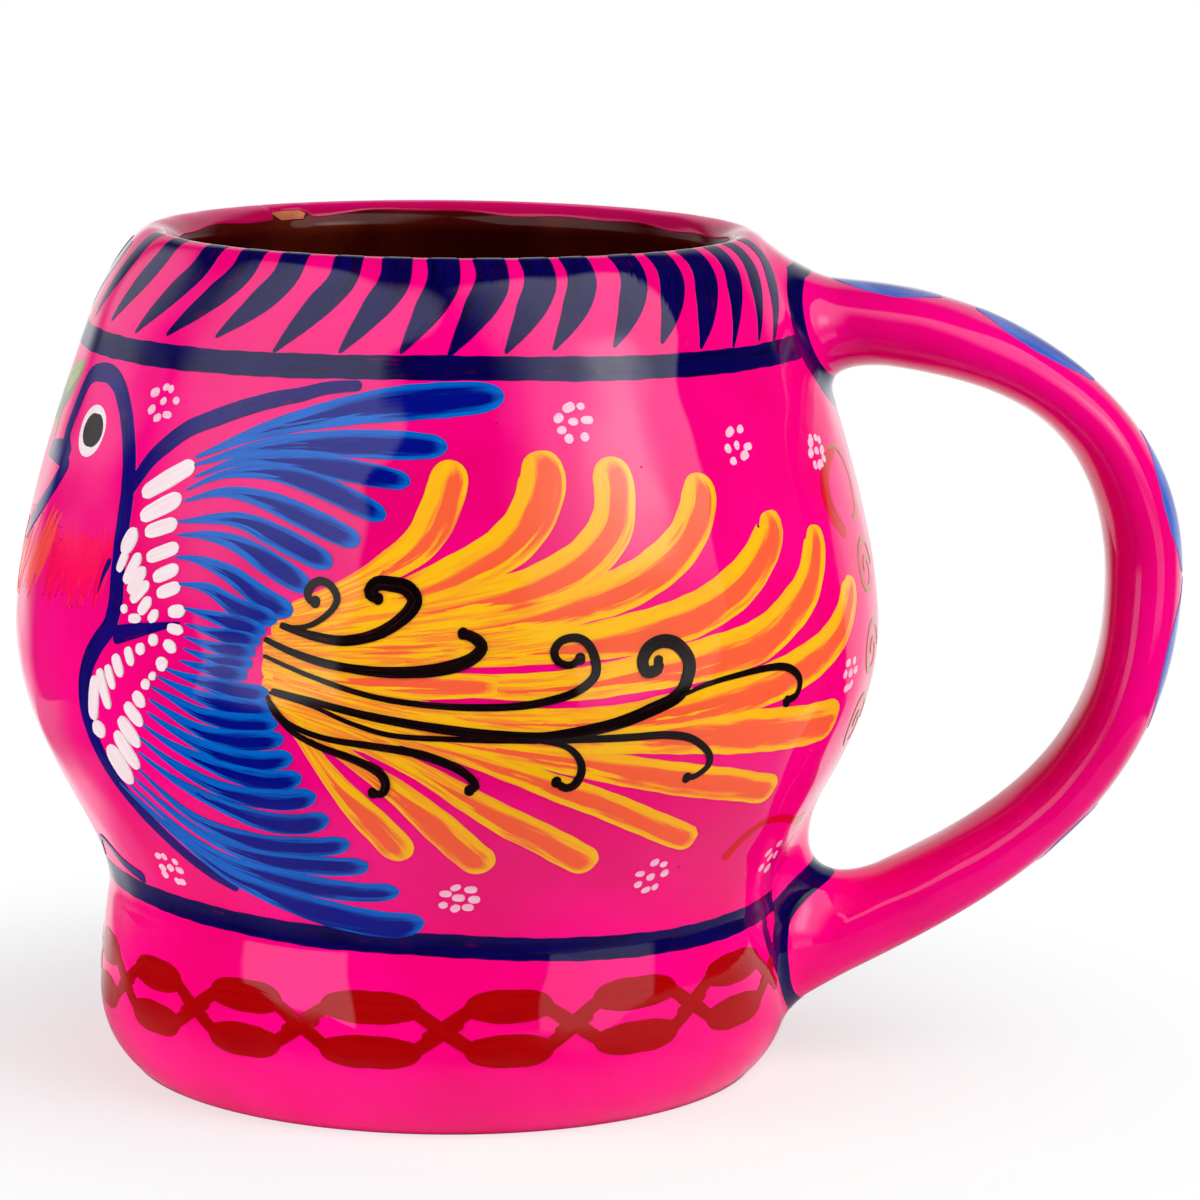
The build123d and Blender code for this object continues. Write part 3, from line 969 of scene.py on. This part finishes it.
WING_FEATHERS = [
    (3.0, [(-35.5, 71.8), (-25, 75.1), (-14.9, 77.2), (-4.8, 78.5), (9.7, 79.3)]),
    (2.4, [(-35.5, 71), (-27.5, 73), (-20, 74.1), (-9.9, 74.4), (1.6, 74.3)]),
    (1.9, [(-35, 69.9), (-27.5, 72), (-20, 72.3), (-12.4, 71.8), (-3.3, 70.8)]),
    (1.9, [(-36, 68.5), (-30, 70.5), (-22.4, 71.1), (-14.9, 69.9), (-6.4, 67.3)]),
    (2.0, [(-36, 67.4), (-30, 68.7), (-24, 68.5), (-17.4, 67), (-9.6, 64.7)]),
    (2.0, [(-36.5, 65.3), (-27.5, 66.2), (-21, 64.9), (-13, 62.4)]),
    (2.0, [(-36, 64), (-31, 64.3), (-26, 63.7), (-20, 61.6), (-15.7, 59.9)]),
    (1.9, [(-36, 61.8), (-32, 61.8), (-27, 60.8), (-22, 58.7), (-17.7, 57.4)]),
    (1.7, [(-35, 59.2), (-30, 59.1), (-25, 57.4), (-19.7, 56.6)]),
    (1.5, [(-33.5, 56.9), (-27.5, 56.2), (-21.2, 55.3)]),
    (1.3, [(-33, 55.3), (-28, 54.7), (-21.8, 54.3)]),
    (1.2, [(-33, 54), (-28, 53.3), (-22.4, 53.2)]),
    (1.2, [(-33, 52.8), (-28, 52), (-22.7, 52)]),
    (1.3, [(-33.5, 51.5), (-29, 51), (-23.4, 50.8)]),
    (1.5, [(-36, 50.5), (-32, 49.9), (-25, 49.1), (-20.4, 49.1)]),
    (1.6, [(-37, 49.5), (-30, 48), (-25, 47.5), (-19.9, 47.4)]),
    (1.7, [(-38, 48.3), (-35, 47.6), (-30, 46.2), (-25, 45.8), (-19.4, 46.1)]),
    (1.8, [(-38.5, 47), (-35, 45.8), (-30, 44.3), (-25, 43.9), (-18.7, 44.5)]),
    (1.9, [(-39, 45.5), (-35, 44.1), (-28.5, 42.2), (-22.4, 41.8), (-17.7, 42.6)]),
    (2.0, [(-40, 44), (-35, 42.2), (-27.5, 40.3), (-21, 39.7), (-16.8, 40.5)]),
    (2.1, [(-41, 42.5), (-35, 39.9), (-27.5, 37.8), (-20, 37.6), (-15.2, 38.5)]),
    (2.1, [(-42, 40.8), (-35, 37.8), (-25, 35.1), (-18.4, 34.9), (-13.9, 36)]),
    (2.1, [(-43, 38.8), (-35, 34.1), (-25, 32.2), (-16, 32.4), (-11.5, 33.2)]),
    (2.1, [(-44.5, 37.5), (-35, 32.4), (-25, 30.3), (-14.9, 30.1), (-9.2, 30.5)]),
    (2.2, [(-46.5, 36.8), (-35, 30.3), (-22.4, 28), (-12.4, 27.2), (-5.1, 27.5)]),
    (2.7, [(-48.5, 36.5), (-35, 28.7), (-27.5, 26.4), (-17.4, 24.5), (-7.4, 23.5), (-1.5, 23.9)]),
]

TAIL_FEATHERS = [
    (4.2, (0.34, 0.24), [(-17.9, 57.8), (-12.4, 59.7), (-6.9, 62), (-1.8, 64.9), (0.9, 68.7),
                         (2.4, 73)]),
    (5.0, (0.38, 0.25), [(-18.5, 57), (-9.9, 58.5), (-2.3, 60.3), (4.2, 62.4), (9.2, 64.5), (12.7, 67.4),
                         (14.5, 71.2), (13.2, 73.7)]),
    (4.8, (0.4, 0.25), [(-20, 55.5), (-10, 57), (0, 58.5), (10, 60), (15, 61.2), (20, 63.2),
                        (23.6, 66.2), (24.6, 69.9), (23.8, 73)]),
    (4.7, (0.4, 0.25), [(-20, 54.5), (-5, 55.7), (10, 57.2), (17.5, 58.5), (25.1, 60.1), (31.1, 62.4),
                        (35.1, 64.9), (37.6, 68.2), (37.4, 70.8)]),
    (4.8, (0.38, 0.25), [(-20, 53.3), (0, 53.7), (15, 54.5), (25, 55.3), (34.1, 56.6), (41.2, 58.7),
                         (46.2, 61.2), (49.7, 64.1), (49.2, 66)]),
    (4.8, (0.4, 0.25), [(-20, 52.3), (0, 51), (15, 50.5), (27.6, 51.4), (37.6, 52.2), (45.2, 53.2),
                        (51.2, 55.3), (56.2, 57.8), (59.5, 61.6), (59.5, 63.7)]),
    (4.6, (0.4, 0.26), [(-20, 51), (0, 48), (20, 46.6), (32.6, 47.2), (42.7, 48), (51.2, 49.1),
                        (58.2, 50.5), (64.3, 52.8), (67.8, 55.8), (68.5, 57.4)]),
    (5.0, (0.45, 0.28), [(-20, 49.5), (0, 46.6), (15, 45.3), (25, 44.9), (35.1, 44.3), (45.2, 43.5),
                         (55.2, 42.8), (62.8, 42.6), (64.8, 42.4)]),
    (3.9, (0.45, 0.3), [(-20, 49), (-5, 46.2), (10, 43.9), (15, 43), (25, 41), (35.1, 39.1),
                        (42.7, 37.8), (50.2, 36.4), (53.2, 36)]),
    (3.4, (0.45, 0.3), [(-20, 48.5), (0, 44.5), (10, 41.6), (15, 39.9), (22.6, 37.4), (30.1, 34.7),
                        (37.6, 32.2), (40, 31.8)]),
    (3.8, (0.45, 0.3), [(-16, 46.6), (-9.9, 44.9), (-2.3, 42), (4.2, 38.7), (10, 35.8), (15, 33.7),
                        (21.1, 31), (23.8, 30.1)]),
    (4.0, (0.42, 0.3), [(-15.9, 46.2), (-10.9, 43.2), (-4.8, 39.5), (0.2, 35.8), (5.2, 32),
                        (8.2, 30.3)]),
    (3.8, (0.45, 0.33), [(-18.4, 46.6), (-16.4, 44.9), (-13.4, 41.2), (-9.9, 37.4), (-5.9, 33.7),
                         (-3.8, 31.4)]),
]

TAIL_HUB = [
    (3.0, [(-20.5, 55.4), (-12, 56.4), (-2, 57.6)]), (3.4, [(-21.5, 53.8), (-10, 54), (4, 54.6)]),
    (3.4, [(-21.5, 52), (-8, 51), (8, 50.6)]), (3.4, [(-21.5, 50), (-10, 48.4), (6, 47.2)]),
    (3.0, [(-20.5, 48.4), (-14, 46.4), (-4, 43.6)]),
]

SCROLLS = [
    (0.7, [(-19.4, 56), (-15.9, 56.2), (-13.4, 57.4), (-12.1, 58.9), (-12.9, 60.3), (-14.6, 60.8),
           (-15.9, 59.9), (-15.7, 58.9), (-14.9, 58.7)]),
    (1.3, [(-19.4, 56.2), (-14.9, 55.3), (-10.9, 55), (-6.9, 55.8), (-3.8, 57.4), (-2.3, 59.1),
           (-3.3, 60.4), (-5.4, 60.8), (-7.1, 60.8), (-7.9, 59.9), (-6.9, 59.3)]),
    (1.1, [(-21.4, 54.7), (-17.4, 53.5), (-12.4, 52.5), (-5.9, 52), (0.2, 52.3), (4.2, 53.2), (6, 54.5),
           (5.2, 55.5), (3.7, 56)]),
    (0.75, [(-21.4, 53), (-14.9, 51.2), (-7.4, 49.5), (0.2, 48.7), (7.7, 48.5), (12.7, 48.8),
            (17.3, 49.7), (20, 51.2), (20.3, 52.8), (19.5, 54.5), (18, 55.3), (16, 55.1), (15, 54.1),
            (15.5, 53), (17, 52.6), (18.3, 53.2)]),
    (1.2, [(-20.2, 49.5), (-14.9, 48.7), (-7.4, 47.4), (2.7, 46.1), (10.2, 45.4), (15, 45.3),
           (22.6, 46.2), (27.6, 47.4), (31.6, 48.7), (33.1, 50.8), (33.1, 52.4), (31.6, 53.9),
           (29.6, 54.4), (27.6, 53.9), (26.6, 52.6), (27.1, 51.4), (28.6, 51.6), (28.8, 52.4)]),
    (0.7, [(31.6, 48.5), (36.1, 49.5), (41.2, 50), (46.2, 50.2), (49.7, 49.9), (52, 48.9), (52.7, 47.8),
           (52, 46.6), (50.2, 46.2)]),
    (0.7, [(-20.5, 49.3), (-14.9, 48.2), (-9.9, 46.6), (-4.8, 45.5), (2.7, 45.2), (15, 44.9), (25, 44.7),
           (30, 44.6), (34, 43.9), (37, 42.2), (37.7, 40.7), (36, 39.6), (34.5, 39.5)]),
    (0.8, [(13, 44.9), (16.3, 44.3), (18.3, 43), (19, 41.4), (18.3, 39.9), (17, 39.6), (15.8, 40.3)]),
    (0.8, [(-20.5, 48.5), (-17.9, 46.2), (-13.4, 44.9), (-7.4, 44.3), (-2.3, 43.7), (1.7, 42.6),
           (4.2, 41.4), (5.5, 40.1), (4.7, 39.6)]),
    (0.8, [(-20.7, 49), (-19.9, 47.4), (-17.4, 45.3), (-13.9, 43.9), (-9.9, 42.8), (-6.9, 41.6),
           (-5.9, 40.3), (-6.4, 39.1), (-7.6, 39.1)]),
]
SCROLL_BLOB = 1.275

WING_DASHES = [
    (1.6, (-43.8, 67.4), (-35.3, 71.2)), (1.5, (-43.2, 65.1), (-36.5, 67.8)),
    (1.3, (-41.8, 63.7), (-36.4, 65.2)), (1.2, (-40.7, 61.2), (-35.5, 62.9)),
    (1.2, (-39, 59.3), (-35, 60.8)), (1.1, (-38, 57.8), (-34.3, 59)),
    (1.1, (-35.8, 56.2), (-33.1, 56.6)), (0.9, (-35.7, 54.7), (-33.1, 54.5)),
    (1.5, (-45.3, 61.2), (-43.6, 64)), (0.9, (-45.6, 59.3), (-44.6, 61.6)),
    (1.1, (-44, 58.3), (-42, 61.6)), (1.1, (-43, 57.4), (-40.7, 60.3)),
    (1.0, (-42.4, 56.6), (-39.7, 58.9)), (1.0, (-40.7, 55.5), (-39, 57.4)),
    (0.9, (-38.8, 54.9), (-37.5, 56.2)), (0.8, (-43.8, 55.3), (-43.2, 56.2)),
    (0.8, (-42.5, 54.9), (-40.3, 55.1)), (1.0, (-38.3, 52.6), (-37.3, 53.7)),
    (1.0, (-40.3, 51.4), (-39.5, 52.6)), (0.9, (-41.3, 50.1), (-42.3, 52)),
    (1.1, (-43.2, 48.7), (-44.6, 51)), (0.9, (-44.8, 47.2), (-46, 49.7)),
    (1.1, (-46.1, 44.9), (-47.6, 49.1)), (1.3, (-50.1, 43.2), (-48.3, 48.2)),
    (2.0, (-48.8, 41.4), (-49.8, 43.2)), (2.3, (-45.6, 36.6), (-47.8, 40.8)),
    (1.7, (-42.8, 38.7), (-45.6, 42.6)), (1.6, (-41.3, 41.4), (-44.3, 44.3)),
    (1.3, (-40, 43.9), (-42.8, 46)), (1.2, (-39.3, 46), (-41, 47.4)), (1.1, (-38.4, 48), (-39.3, 48.9)),
    (1.0, (-37.3, 49.1), (-38, 49.8)), (1.2, (-35.3, 51.2), (-37, 50.5)),
    (1.0, (-36, 53.2), (-34, 52.4)),
]

UPPER_WING_Z = 51
FULLNESS = 1.25
EYE, PUPIL = (-60.1, 72.5), (-59.7, 72.6)


def make_bird_lines():
    """The navy outline of head, breast and wing."""
    paint = Paint(wall, OUTLINE_LIFT)
    for width, shape, places in BIRD_LINES:
        paint.stroke(on_wall(places), width, shape, (0.6, 0.6))
    paint.piece("bird_lines", indigo_paint, "navy_enamel")


def make_wing():
    """Blue feathers, each laid over the one above it."""
    paint = Paint(wall, WING_LIFT)
    for width, places in WING_FEATHERS:
        upper = places[0][1] > UPPER_WING_Z
        dark = 0.42 if width < 1.6 else chance.uniform(0.28, 0.38)
        core = ((0.46 if upper else 0.42) + chance.uniform(-0.06, 0.06), dark)
        paint.stroke(on_wall(places), FULLNESS * width, FEATHER, (0.4, width * 0.8), core)
    paint.piece("wing_feathers", blue_paint, "blue_enamel")


def make_tail():
    """Yellow feathers with an orange core, fanning out from the wing."""
    paint = Paint(wall, TAIL_LIFT)
    for width, places in TAIL_HUB:
        paint.stroke(on_wall(places), width, HUB, (0.6, 0.6), (0.5, 0.3))
    for width, core, places in reversed(TAIL_FEATHERS):
        paint.stroke(on_wall(places), width, TAIL_FEATHER, (0.4, width * 0.5), core)
    paint.piece("tail_feathers", tail_paint, "yellow_enamel")


def make_scrolls():
    """Black scrolls over the tail, each ending in a blob."""
    paint = Paint(wall, TOP_LIFT)
    for width, places in SCROLLS:
        paint.stroke(on_wall(places), width, CURL, (0.3, 0.5))
        angle, z = places[-1]
        blob = [(angle - 0.7, z), (angle + 0.7, z)]
        paint.stroke(on_wall(blob), SCROLL_BLOB, caps=(0.6, 0.6))
    paint.piece("tail_scrolls", black_paint, "black_enamel")


def make_dashes():
    """White dashes along the shoulder of the wing."""
    paint = Paint(wall, TOP_LIFT)
    for width, start, end in WING_DASHES:
        paint.stroke(on_wall([start, end]), FULLNESS * width, DASH, (width * 0.7, width * 0.7))
    paint.piece("wing_dashes", white_paint, "white_enamel")


def make_oval(name, place, half_width, half_height, lift, material, slot):
    """A single round dab."""
    angle, z = place
    arc = wall.arc_at(z)
    paint = Paint(wall, lift)
    paint.stroke([(angle, arc - half_height), (angle, arc + half_height)], 2 * half_width,
                 caps=(half_height, half_height), ragged=0.01)
    paint.piece(name, material, slot)


make_bird_lines()
make_tail()
make_wing()
make_scrolls()
make_dashes()
make_oval("eye_white", EYE, 3.0, 2.85, SPOT_LIFT, white_paint, "white_enamel")
make_oval("eye_pupil", PUPIL, 2.3, 1.9, PUPIL_LIFT, black_paint, "black_enamel")


# Smaller ornament

# Angle, height and number of dots
DOT_FLOWERS = [
    (-44, 76.9, 8), (19.5, 76.6, 8), (46.4, 73, 7), (66.5, 70.8, 11), (67, 47, 7), (-45.6, 26.8, 9),
    (3.7, 26.8, 8), (34.1, 27.8, 8), (64.6, 26.3, 6), (118, 74, 8), (152, 77, 8), (204, 76.5, 8),
    (238, 73.5, 8), (112, 47, 8), (128, 28, 8), (178, 26.5, 8), (228, 27.5, 8), (252, 50, 8),
]
DOT_RING = 1.65


def make_dot_flowers():
    """Rings of small slanted white dots."""
    paint = Paint(wall, DAB_LIFT)
    for angle, z, count in DOT_FLOWERS:
        arc = wall.arc_at(z)
        scale = wall.scale(arc)
        places = [(0.0, 0.0)]
        for number in range(count - 1):
            turn = 2 * np.pi * number / (count - 1) + chance.uniform(-0.2, 0.2)
            reach = DOT_RING * chance.uniform(0.85, 1.2)
            places.append((reach * np.cos(turn), reach * np.sin(turn)))
        for over, up in places:
            middle = (angle + over / scale, arc + up)
            slant = (chance.uniform(0.4, 0.7) / scale, chance.uniform(-0.1, 0.4))
            line = [np.subtract(middle, slant), np.add(middle, slant)]
            paint.stroke(line, chance.uniform(0.75, 1.0), DASH, (0.4, 0.4))
    paint.piece("dot_flowers", dot_paint, "white_enamel")


BREAST_STREAKS, BREAST_ANGLES, BREAST_HEIGHTS = 90, (-64, -48), (57, 60)
CORAL_STREAKS, CORAL_ANGLES, CORAL_HEIGHTS = 30, (-85, -65), (56, 61.5)


def make_breast():
    """A watery red wash on the bird's breast, and coral strokes round its side."""
    red = Paint(wall, WASH_LIFT)
    for _ in range(BREAST_STREAKS):
        angle = chance.uniform(*BREAST_ANGLES)
        z = chance.uniform(*BREAST_HEIGHTS) + 0.09 * (angle + 58)
        reach = chance.uniform(1.5, 3.2)
        line = [(angle - 0.4, z - reach), (angle, z), (angle + 0.4, z + reach)]
        red.stroke(on_wall(line), chance.uniform(0.5, 1.1), LEAF, (0.5, 0.5))
    red.piece("breast_streaks", watery_paint, "red_enamel")
    coral = Paint(wall, STREAK_LIFT)
    for _ in range(CORAL_STREAKS):
        angle = chance.uniform(*CORAL_ANGLES)
        z = chance.uniform(*CORAL_HEIGHTS) + 0.15 * (angle + 72)
        line = [(angle - 2.5, z - 3.3), (angle, z), (angle + 2.5, z + 3.3)]
        coral.stroke(on_wall(line), chance.uniform(0.6, 1.4), LEAF, (0.5, 0.5))
    coral.piece("side_streaks", coral_paint, "red_enamel")


def make_beak_leaf():
    """The leaf that the bird carries."""
    paint = Paint(wall, DAB_LIFT)
    blade = [(-71.5, 78.5), (-76, 76.5), (-82, 74), (-88, 71.5)]
    paint.stroke(on_wall(blade), 5.5, LEAF, (0.4, 0.6), (0.8, 0.3))
    paint.stroke(on_wall([(-77, 70), (-79, 73.5), (-82, 76)]), 2.4, LEAF, (0.4, 0.4), (0.4, 0.3))
    paint.piece("beak_leaf", green_paint, "green_enamel")


SIDE_SPIRALS = [(77, 57), (77.5, 48), (76, 40)]


def make_side_scrolls():
    """Red petals and gold spirals beside the handle."""
    red = Paint(wall, DAB_LIFT)
    red.stroke(on_wall([(74, 70.4), (69, 69.2), (66.4, 67), (66.6, 64.4), (70.3, 61.4)]), 2.3,
               (0.35, 0.75, 1, 1, 0.6), (0.4, 0.8))
    red.stroke(on_wall([(48.5, 28.2), (51, 30.4), (55.1, 31.8), (61, 31.4), (68.6, 30), (72, 30)]), 1.3,
               (1.3, 0.9, 0.8, 0.8, 1), (0.6, 0.4))
    red.piece("side_petals", petal_paint, "red_enamel")
    gold = Paint(wall, SPOT_LIFT)
    gold.stroke(on_wall([(71, 70.8), (76, 70), (79, 67), (78, 63.6), (75, 62.6)]), 0.7, CURL, (0.3, 0.3))
    turns = np.radians(np.linspace(0, 560, 15))
    reach = np.linspace(3.6, 0.6, 15)
    for angle, z in SIDE_SPIRALS:
        spiral = np.column_stack((angle + reach * 1.25 * np.cos(turns), z + reach * np.sin(turns)))
        gold.stroke(on_wall(spiral), 0.8, (0.6, 1, 1, 0.8), (0.3, 0.3))
    gold.piece("side_spirals", gold_paint, "yellow_enamel")


make_dot_flowers()
make_breast()
make_beak_leaf()
make_side_scrolls()


# Ornament out of the photograph's sight, in the same strokes: a flower with leaves on the back

BACK_FLOWER = (182, 50)
PETALS, HEART_DOTS, HEART_RADIUS = 9, 10, 2.6

# A petal's reach and bend in radians, the stem's places, and the leaves' roots and how far they lean
PETAL = ((3, 0), (8, 0.08), (13.5, 0.2))
BACK_STEM = ((16, 44), (30, 38), (44, 40), (56, 50))
BACK_LEAVES = ((24, 41, 9), (34, 39.2, 11), (44, 41, 9), (54, 48, 7))


def make_back_flower():
    """Petals round a spiral, and leaves on two curved stems."""
    angle, z = BACK_FLOWER
    arc = wall.arc_at(z)
    scale = wall.scale(arc)
    petals = Paint(wall, BAND_LIFT)
    for number in range(PETALS):
        turn = 2 * np.pi * number / PETALS
        line = [(angle + reach * np.cos(turn + bend) / scale, arc + reach * np.sin(turn + bend))
                for reach, bend in PETAL]
        petals.stroke(line, 6.2, FEATHER, (0.5, 2.6), (0.5, 0.32))
    petals.piece("back_petals", flower_paint, "red_enamel")
    heart = Paint(wall, HEART_LIFT)
    for number in range(HEART_DOTS):
        turn = 2 * np.pi * number / HEART_DOTS
        over, up = angle + HEART_RADIUS * np.cos(turn) / scale, arc + HEART_RADIUS * np.sin(turn)
        heart.stroke([(over - 0.6 / scale, up), (over + 0.6 / scale, up)], 1.2, caps=(0.5, 0.5))
    heart.piece("back_flower_heart", white_paint, "white_enamel")
    stems = Paint(wall, STREAK_LIFT)
    leaves = Paint(wall, BAND_LIFT)
    for side in (1, -1):
        stem = [(angle + side * over, z) for over, z in BACK_STEM]
        stems.stroke(on_wall(stem), 1.2, (1, 1, 0.6))
        for over, low, bend in BACK_LEAVES:
            for rise in (1, -1):
                root = (angle + side * over, low)
                tip = (angle + side * (over + bend), low + rise * 10)
                middle = (angle + side * (over + bend * 0.3), low + rise * 6)
                leaves.stroke(on_wall([root, middle, tip]), 3.4, LEAF, (0.4, 0.6), (0.5, 0.3))
    stems.piece("back_stems", navy_paint, "navy_enamel")
    leaves.piece("back_leaves", blue_paint, "blue_enamel")


make_back_flower()


# Blue leaves down the outside of the handle

# Distances along the bar where a leaf starts and ends, and how far it lies to the front
HANDLE_LEAVES = [(8.6, 20.3, 0.0), (23.8, 37.5, 1.6), (44.2, 58.6, 1.8), (59.2, 75, 1.5), (83, 93, 1.0)]
HANDLE_LEAF_WIDTH = 9.0


def make_handle_leaves():
    """A row of leaf strokes along the handle's outer face."""
    paint = Paint(bar, OUTLINE_LIFT)
    for start, end, side in HANDLE_LEAVES:
        line = [(start, side - 0.9), (start * 0.6 + end * 0.4, side), (end, side + 0.9)]
        paint.stroke(line, HANDLE_LEAF_WIDTH, LEAF, (0.6, 0.8), (0.5, 0.35))
    paint.piece("handle_leaves", leaf_paint, "blue_enamel")


make_handle_leaves()


# Stage, light and camera

TARGET = Vector((0.005, 0, 0.048))
FLOOR_RADIUS = 0.15
# Floor tones: pale, grey as the gloss sees it, and painted shade in front of the mug for the gloss
PALE_FLOOR, GREY_FLOOR, SHADED_FLOOR = (0.9, 0.9, 0.9, 1), (0.7, 0.7, 0.7, 1), (0.05, 0.05, 0.05, 1)
LAMP_DISTANCE = 0.8
BACK_AZIMUTH = 171
SENSOR, LENS = 36, 143.1
CAMERA_PLACE = (0.0168, -0.52, 0.1435)
PITCH, ROLL = 0.1755, 0.013


def make_floor():
    """A pale floor that fades into the white surroundings and keeps the mug's shadow, with painted shade in
    front of the mug that only the gloss sees.
    """
    mesh = bpy.data.meshes.new("floor")
    turns = np.linspace(0, 2 * np.pi, 96, endpoint=False)
    edge = [(FLOOR_RADIUS * np.cos(turn), FLOOR_RADIUS * np.sin(turn), 0) for turn in turns]
    mesh.from_pydata(edge, [], [list(range(len(edge)))])
    floor = bpy.data.objects.new("floor", mesh)
    bpy.context.scene.collection.objects.link(floor)
    material = bpy.data.materials.new("floor")
    material.use_nodes = True
    tree = material.node_tree
    tree.nodes.remove(tree.nodes["Principled BSDF"])
    place = object_place(tree)
    away = node(tree, "VectorMath", {0: place}, operation="LENGTH").outputs["Value"]
    across = node(tree, "SeparateXYZ", {0: place}).outputs
    rays = node(tree, "LightPath").outputs
    seen = rays["Is Camera Ray"]
    # Painted shade on the floor: the gloss finds a dark floor in front of the mug, so that its foot keeps its
    # colour
    ahead = times(tree, ease(tree, away, 0.042, 0.085), ease(tree, across[1], 0.01, 0.1, 1.0, 0.0))
    ahead = times(tree, ahead, ease(tree, across[0], 0.03, 0.08, 1.0, 0.3))
    tone = mix(tree, ahead, GREY_FLOOR, SHADED_FLOOR)
    tone = mix(tree, calc(tree, "MAXIMUM", seen, rays["Is Diffuse Ray"]), tone, PALE_FLOOR)
    pale = node(tree, "BsdfDiffuse", {"Color": tone}).outputs[0]
    white = node(tree, "Emission", {"Color": (1, 1, 1, 1), "Strength": 1.0}).outputs[0]
    # The floor turns white away from the mug, and for the gloss behind it
    share = times(tree, ease(tree, away, 0.03, 0.1, 0.6, 1.0), seen)
    behind = times(tree, ease(tree, across[1], 0.0, 0.05), ease(tree, across[0], -0.095, -0.07))
    share = calc(tree, "ADD", share, times(tree, behind, rays["Is Glossy Ray"]))
    result = node(tree, "MixShader", {0: share, 1: pale, 2: white}).outputs[0]
    tree.links.new(result, tree.nodes["Material Output"].inputs["Surface"])
    mesh.materials.append(material)


def make_softbox(name, azimuth, elevation, width, height, radiance, soft, mirrored=True, lighting=True):
    """A soft light facing the mug, its azimuth from the front towards the handle, fading at its edges.

    The soft shares are of its width at the low and high azimuth, and of its height at the bottom and top.
    It shows in the gloss if mirrored, and lights the colours if lighting.
    """
    light = bpy.data.lights.new(name, "AREA")
    light.shape = "RECTANGLE"
    light.size = width
    light.size_y = height
    light.energy = radiance * np.pi * width * height
    light.use_nodes = True
    tree = light.node_tree
    spot = node(tree, "SeparateXYZ", {0: node(tree, "NewGeometry").outputs["Parametric"]}).outputs
    level = 1.0
    for place, (first, last) in zip(spot, (soft[:2], soft[2:])):
        level = times(tree, level, ease(tree, place, 0.0, first))
        level = times(tree, level, ease(tree, place, 1.0 - last, 1.0, 1.0, 0.0))
    tree.links.new(level, tree.nodes["Emission"].inputs["Strength"])
    lamp = bpy.data.objects.new(name, light)
    bpy.context.scene.collection.objects.link(lamp)
    a, e = np.radians(azimuth), np.radians(elevation)
    away = Vector((np.sin(a) * np.cos(e), -np.cos(a) * np.cos(e), np.sin(e)))
    lamp.location = TARGET + LAMP_DISTANCE * away
    lamp.rotation_euler = (TARGET - lamp.location).to_track_quat("-Z", "Y").to_euler()
    lamp.visible_camera = False
    lamp.visible_glossy = mirrored
    lamp.visible_diffuse = lighting


def make_world():
    """White surroundings behind the mug, dim ones in front, and white wherever the camera looks past it."""
    world = bpy.data.worlds.new("surroundings")
    bpy.context.scene.world = world
    world.use_nodes = True
    tree = world.node_tree
    back = tree.nodes["Background"]
    direction = node(tree, "TexCoord").outputs["Generated"]
    turn = np.radians(BACK_AZIMUTH)
    backwards = (np.sin(turn), -np.cos(turn), 0)
    towards = node(tree, "VectorMath", {0: direction, 1: backwards}, operation="DOT_PRODUCT").outputs["Value"]
    level = ease(tree, towards, 0.66, 0.84, 0.05, 1.0)
    rise = node(tree, "SeparateXYZ", {0: direction}).outputs[2]
    level = times(tree, level, ease(tree, rise, -0.05, 0.3, 1.0, 0.6))
    seen = node(tree, "LightPath").outputs["Is Camera Ray"]
    strength = calc(tree, "MAXIMUM", level, seen)
    tree.links.new(strength, back.inputs["Strength"])
    back.inputs["Color"].default_value = (1, 1, 1, 1)


def make_camera():
    """The photograph's view: nearly level, a little from above, turned a little anticlockwise."""
    camera = bpy.data.objects.new("camera", bpy.data.cameras.new("camera"))
    bpy.context.scene.collection.objects.link(camera)
    camera.data.sensor_width = SENSOR
    camera.data.lens = LENS
    camera.data.clip_start = 0.01
    across = Vector((1, 0, 0))
    up = Vector((0, np.sin(PITCH), np.cos(PITCH)))
    right = across * np.cos(ROLL) + up * np.sin(ROLL)
    upright = up * np.cos(ROLL) - across * np.sin(ROLL)
    turn = Matrix((right, upright, right.cross(upright))).transposed()
    camera.matrix_world = Matrix.Translation(CAMERA_PLACE) @ turn.to_4x4()
    bpy.context.scene.camera = camera


make_floor()
make_softbox("left_softbox", -60, 36, 1.25, 1.1, 2.6, (0.45, 0.04, 0.35, 0.1), lighting=False)
make_softbox("left_side_softbox", -120, 20, 0.7, 0.55, 1.0, (0.25, 0.45, 0.35, 0.3), lighting=False)
make_softbox("right_softbox", 48, 36, 0.95, 1.1, 3.3, (0.4, 0.04, 0.35, 0.1))
make_softbox("right_core", 54, 24, 0.4, 0.45, 6.2, (0.5, 0.3, 0.5, 0.5))
make_softbox("left_low_softbox", -46, -3, 0.6, 0.32, 2.5, (0.06, 0.06, 0.3, 0.5), lighting=False)
make_softbox("right_low_softbox", 53, -3, 0.52, 0.32, 1.6, (0.06, 0.06, 0.3, 0.5))
make_softbox("left_light", -68, 12, 0.5, 0.6, 6.4, (0.01, 0.01, 0.01, 0.01), mirrored=False)
make_world()
make_camera()
bpy.context.scene.view_settings.view_transform = "Standard"
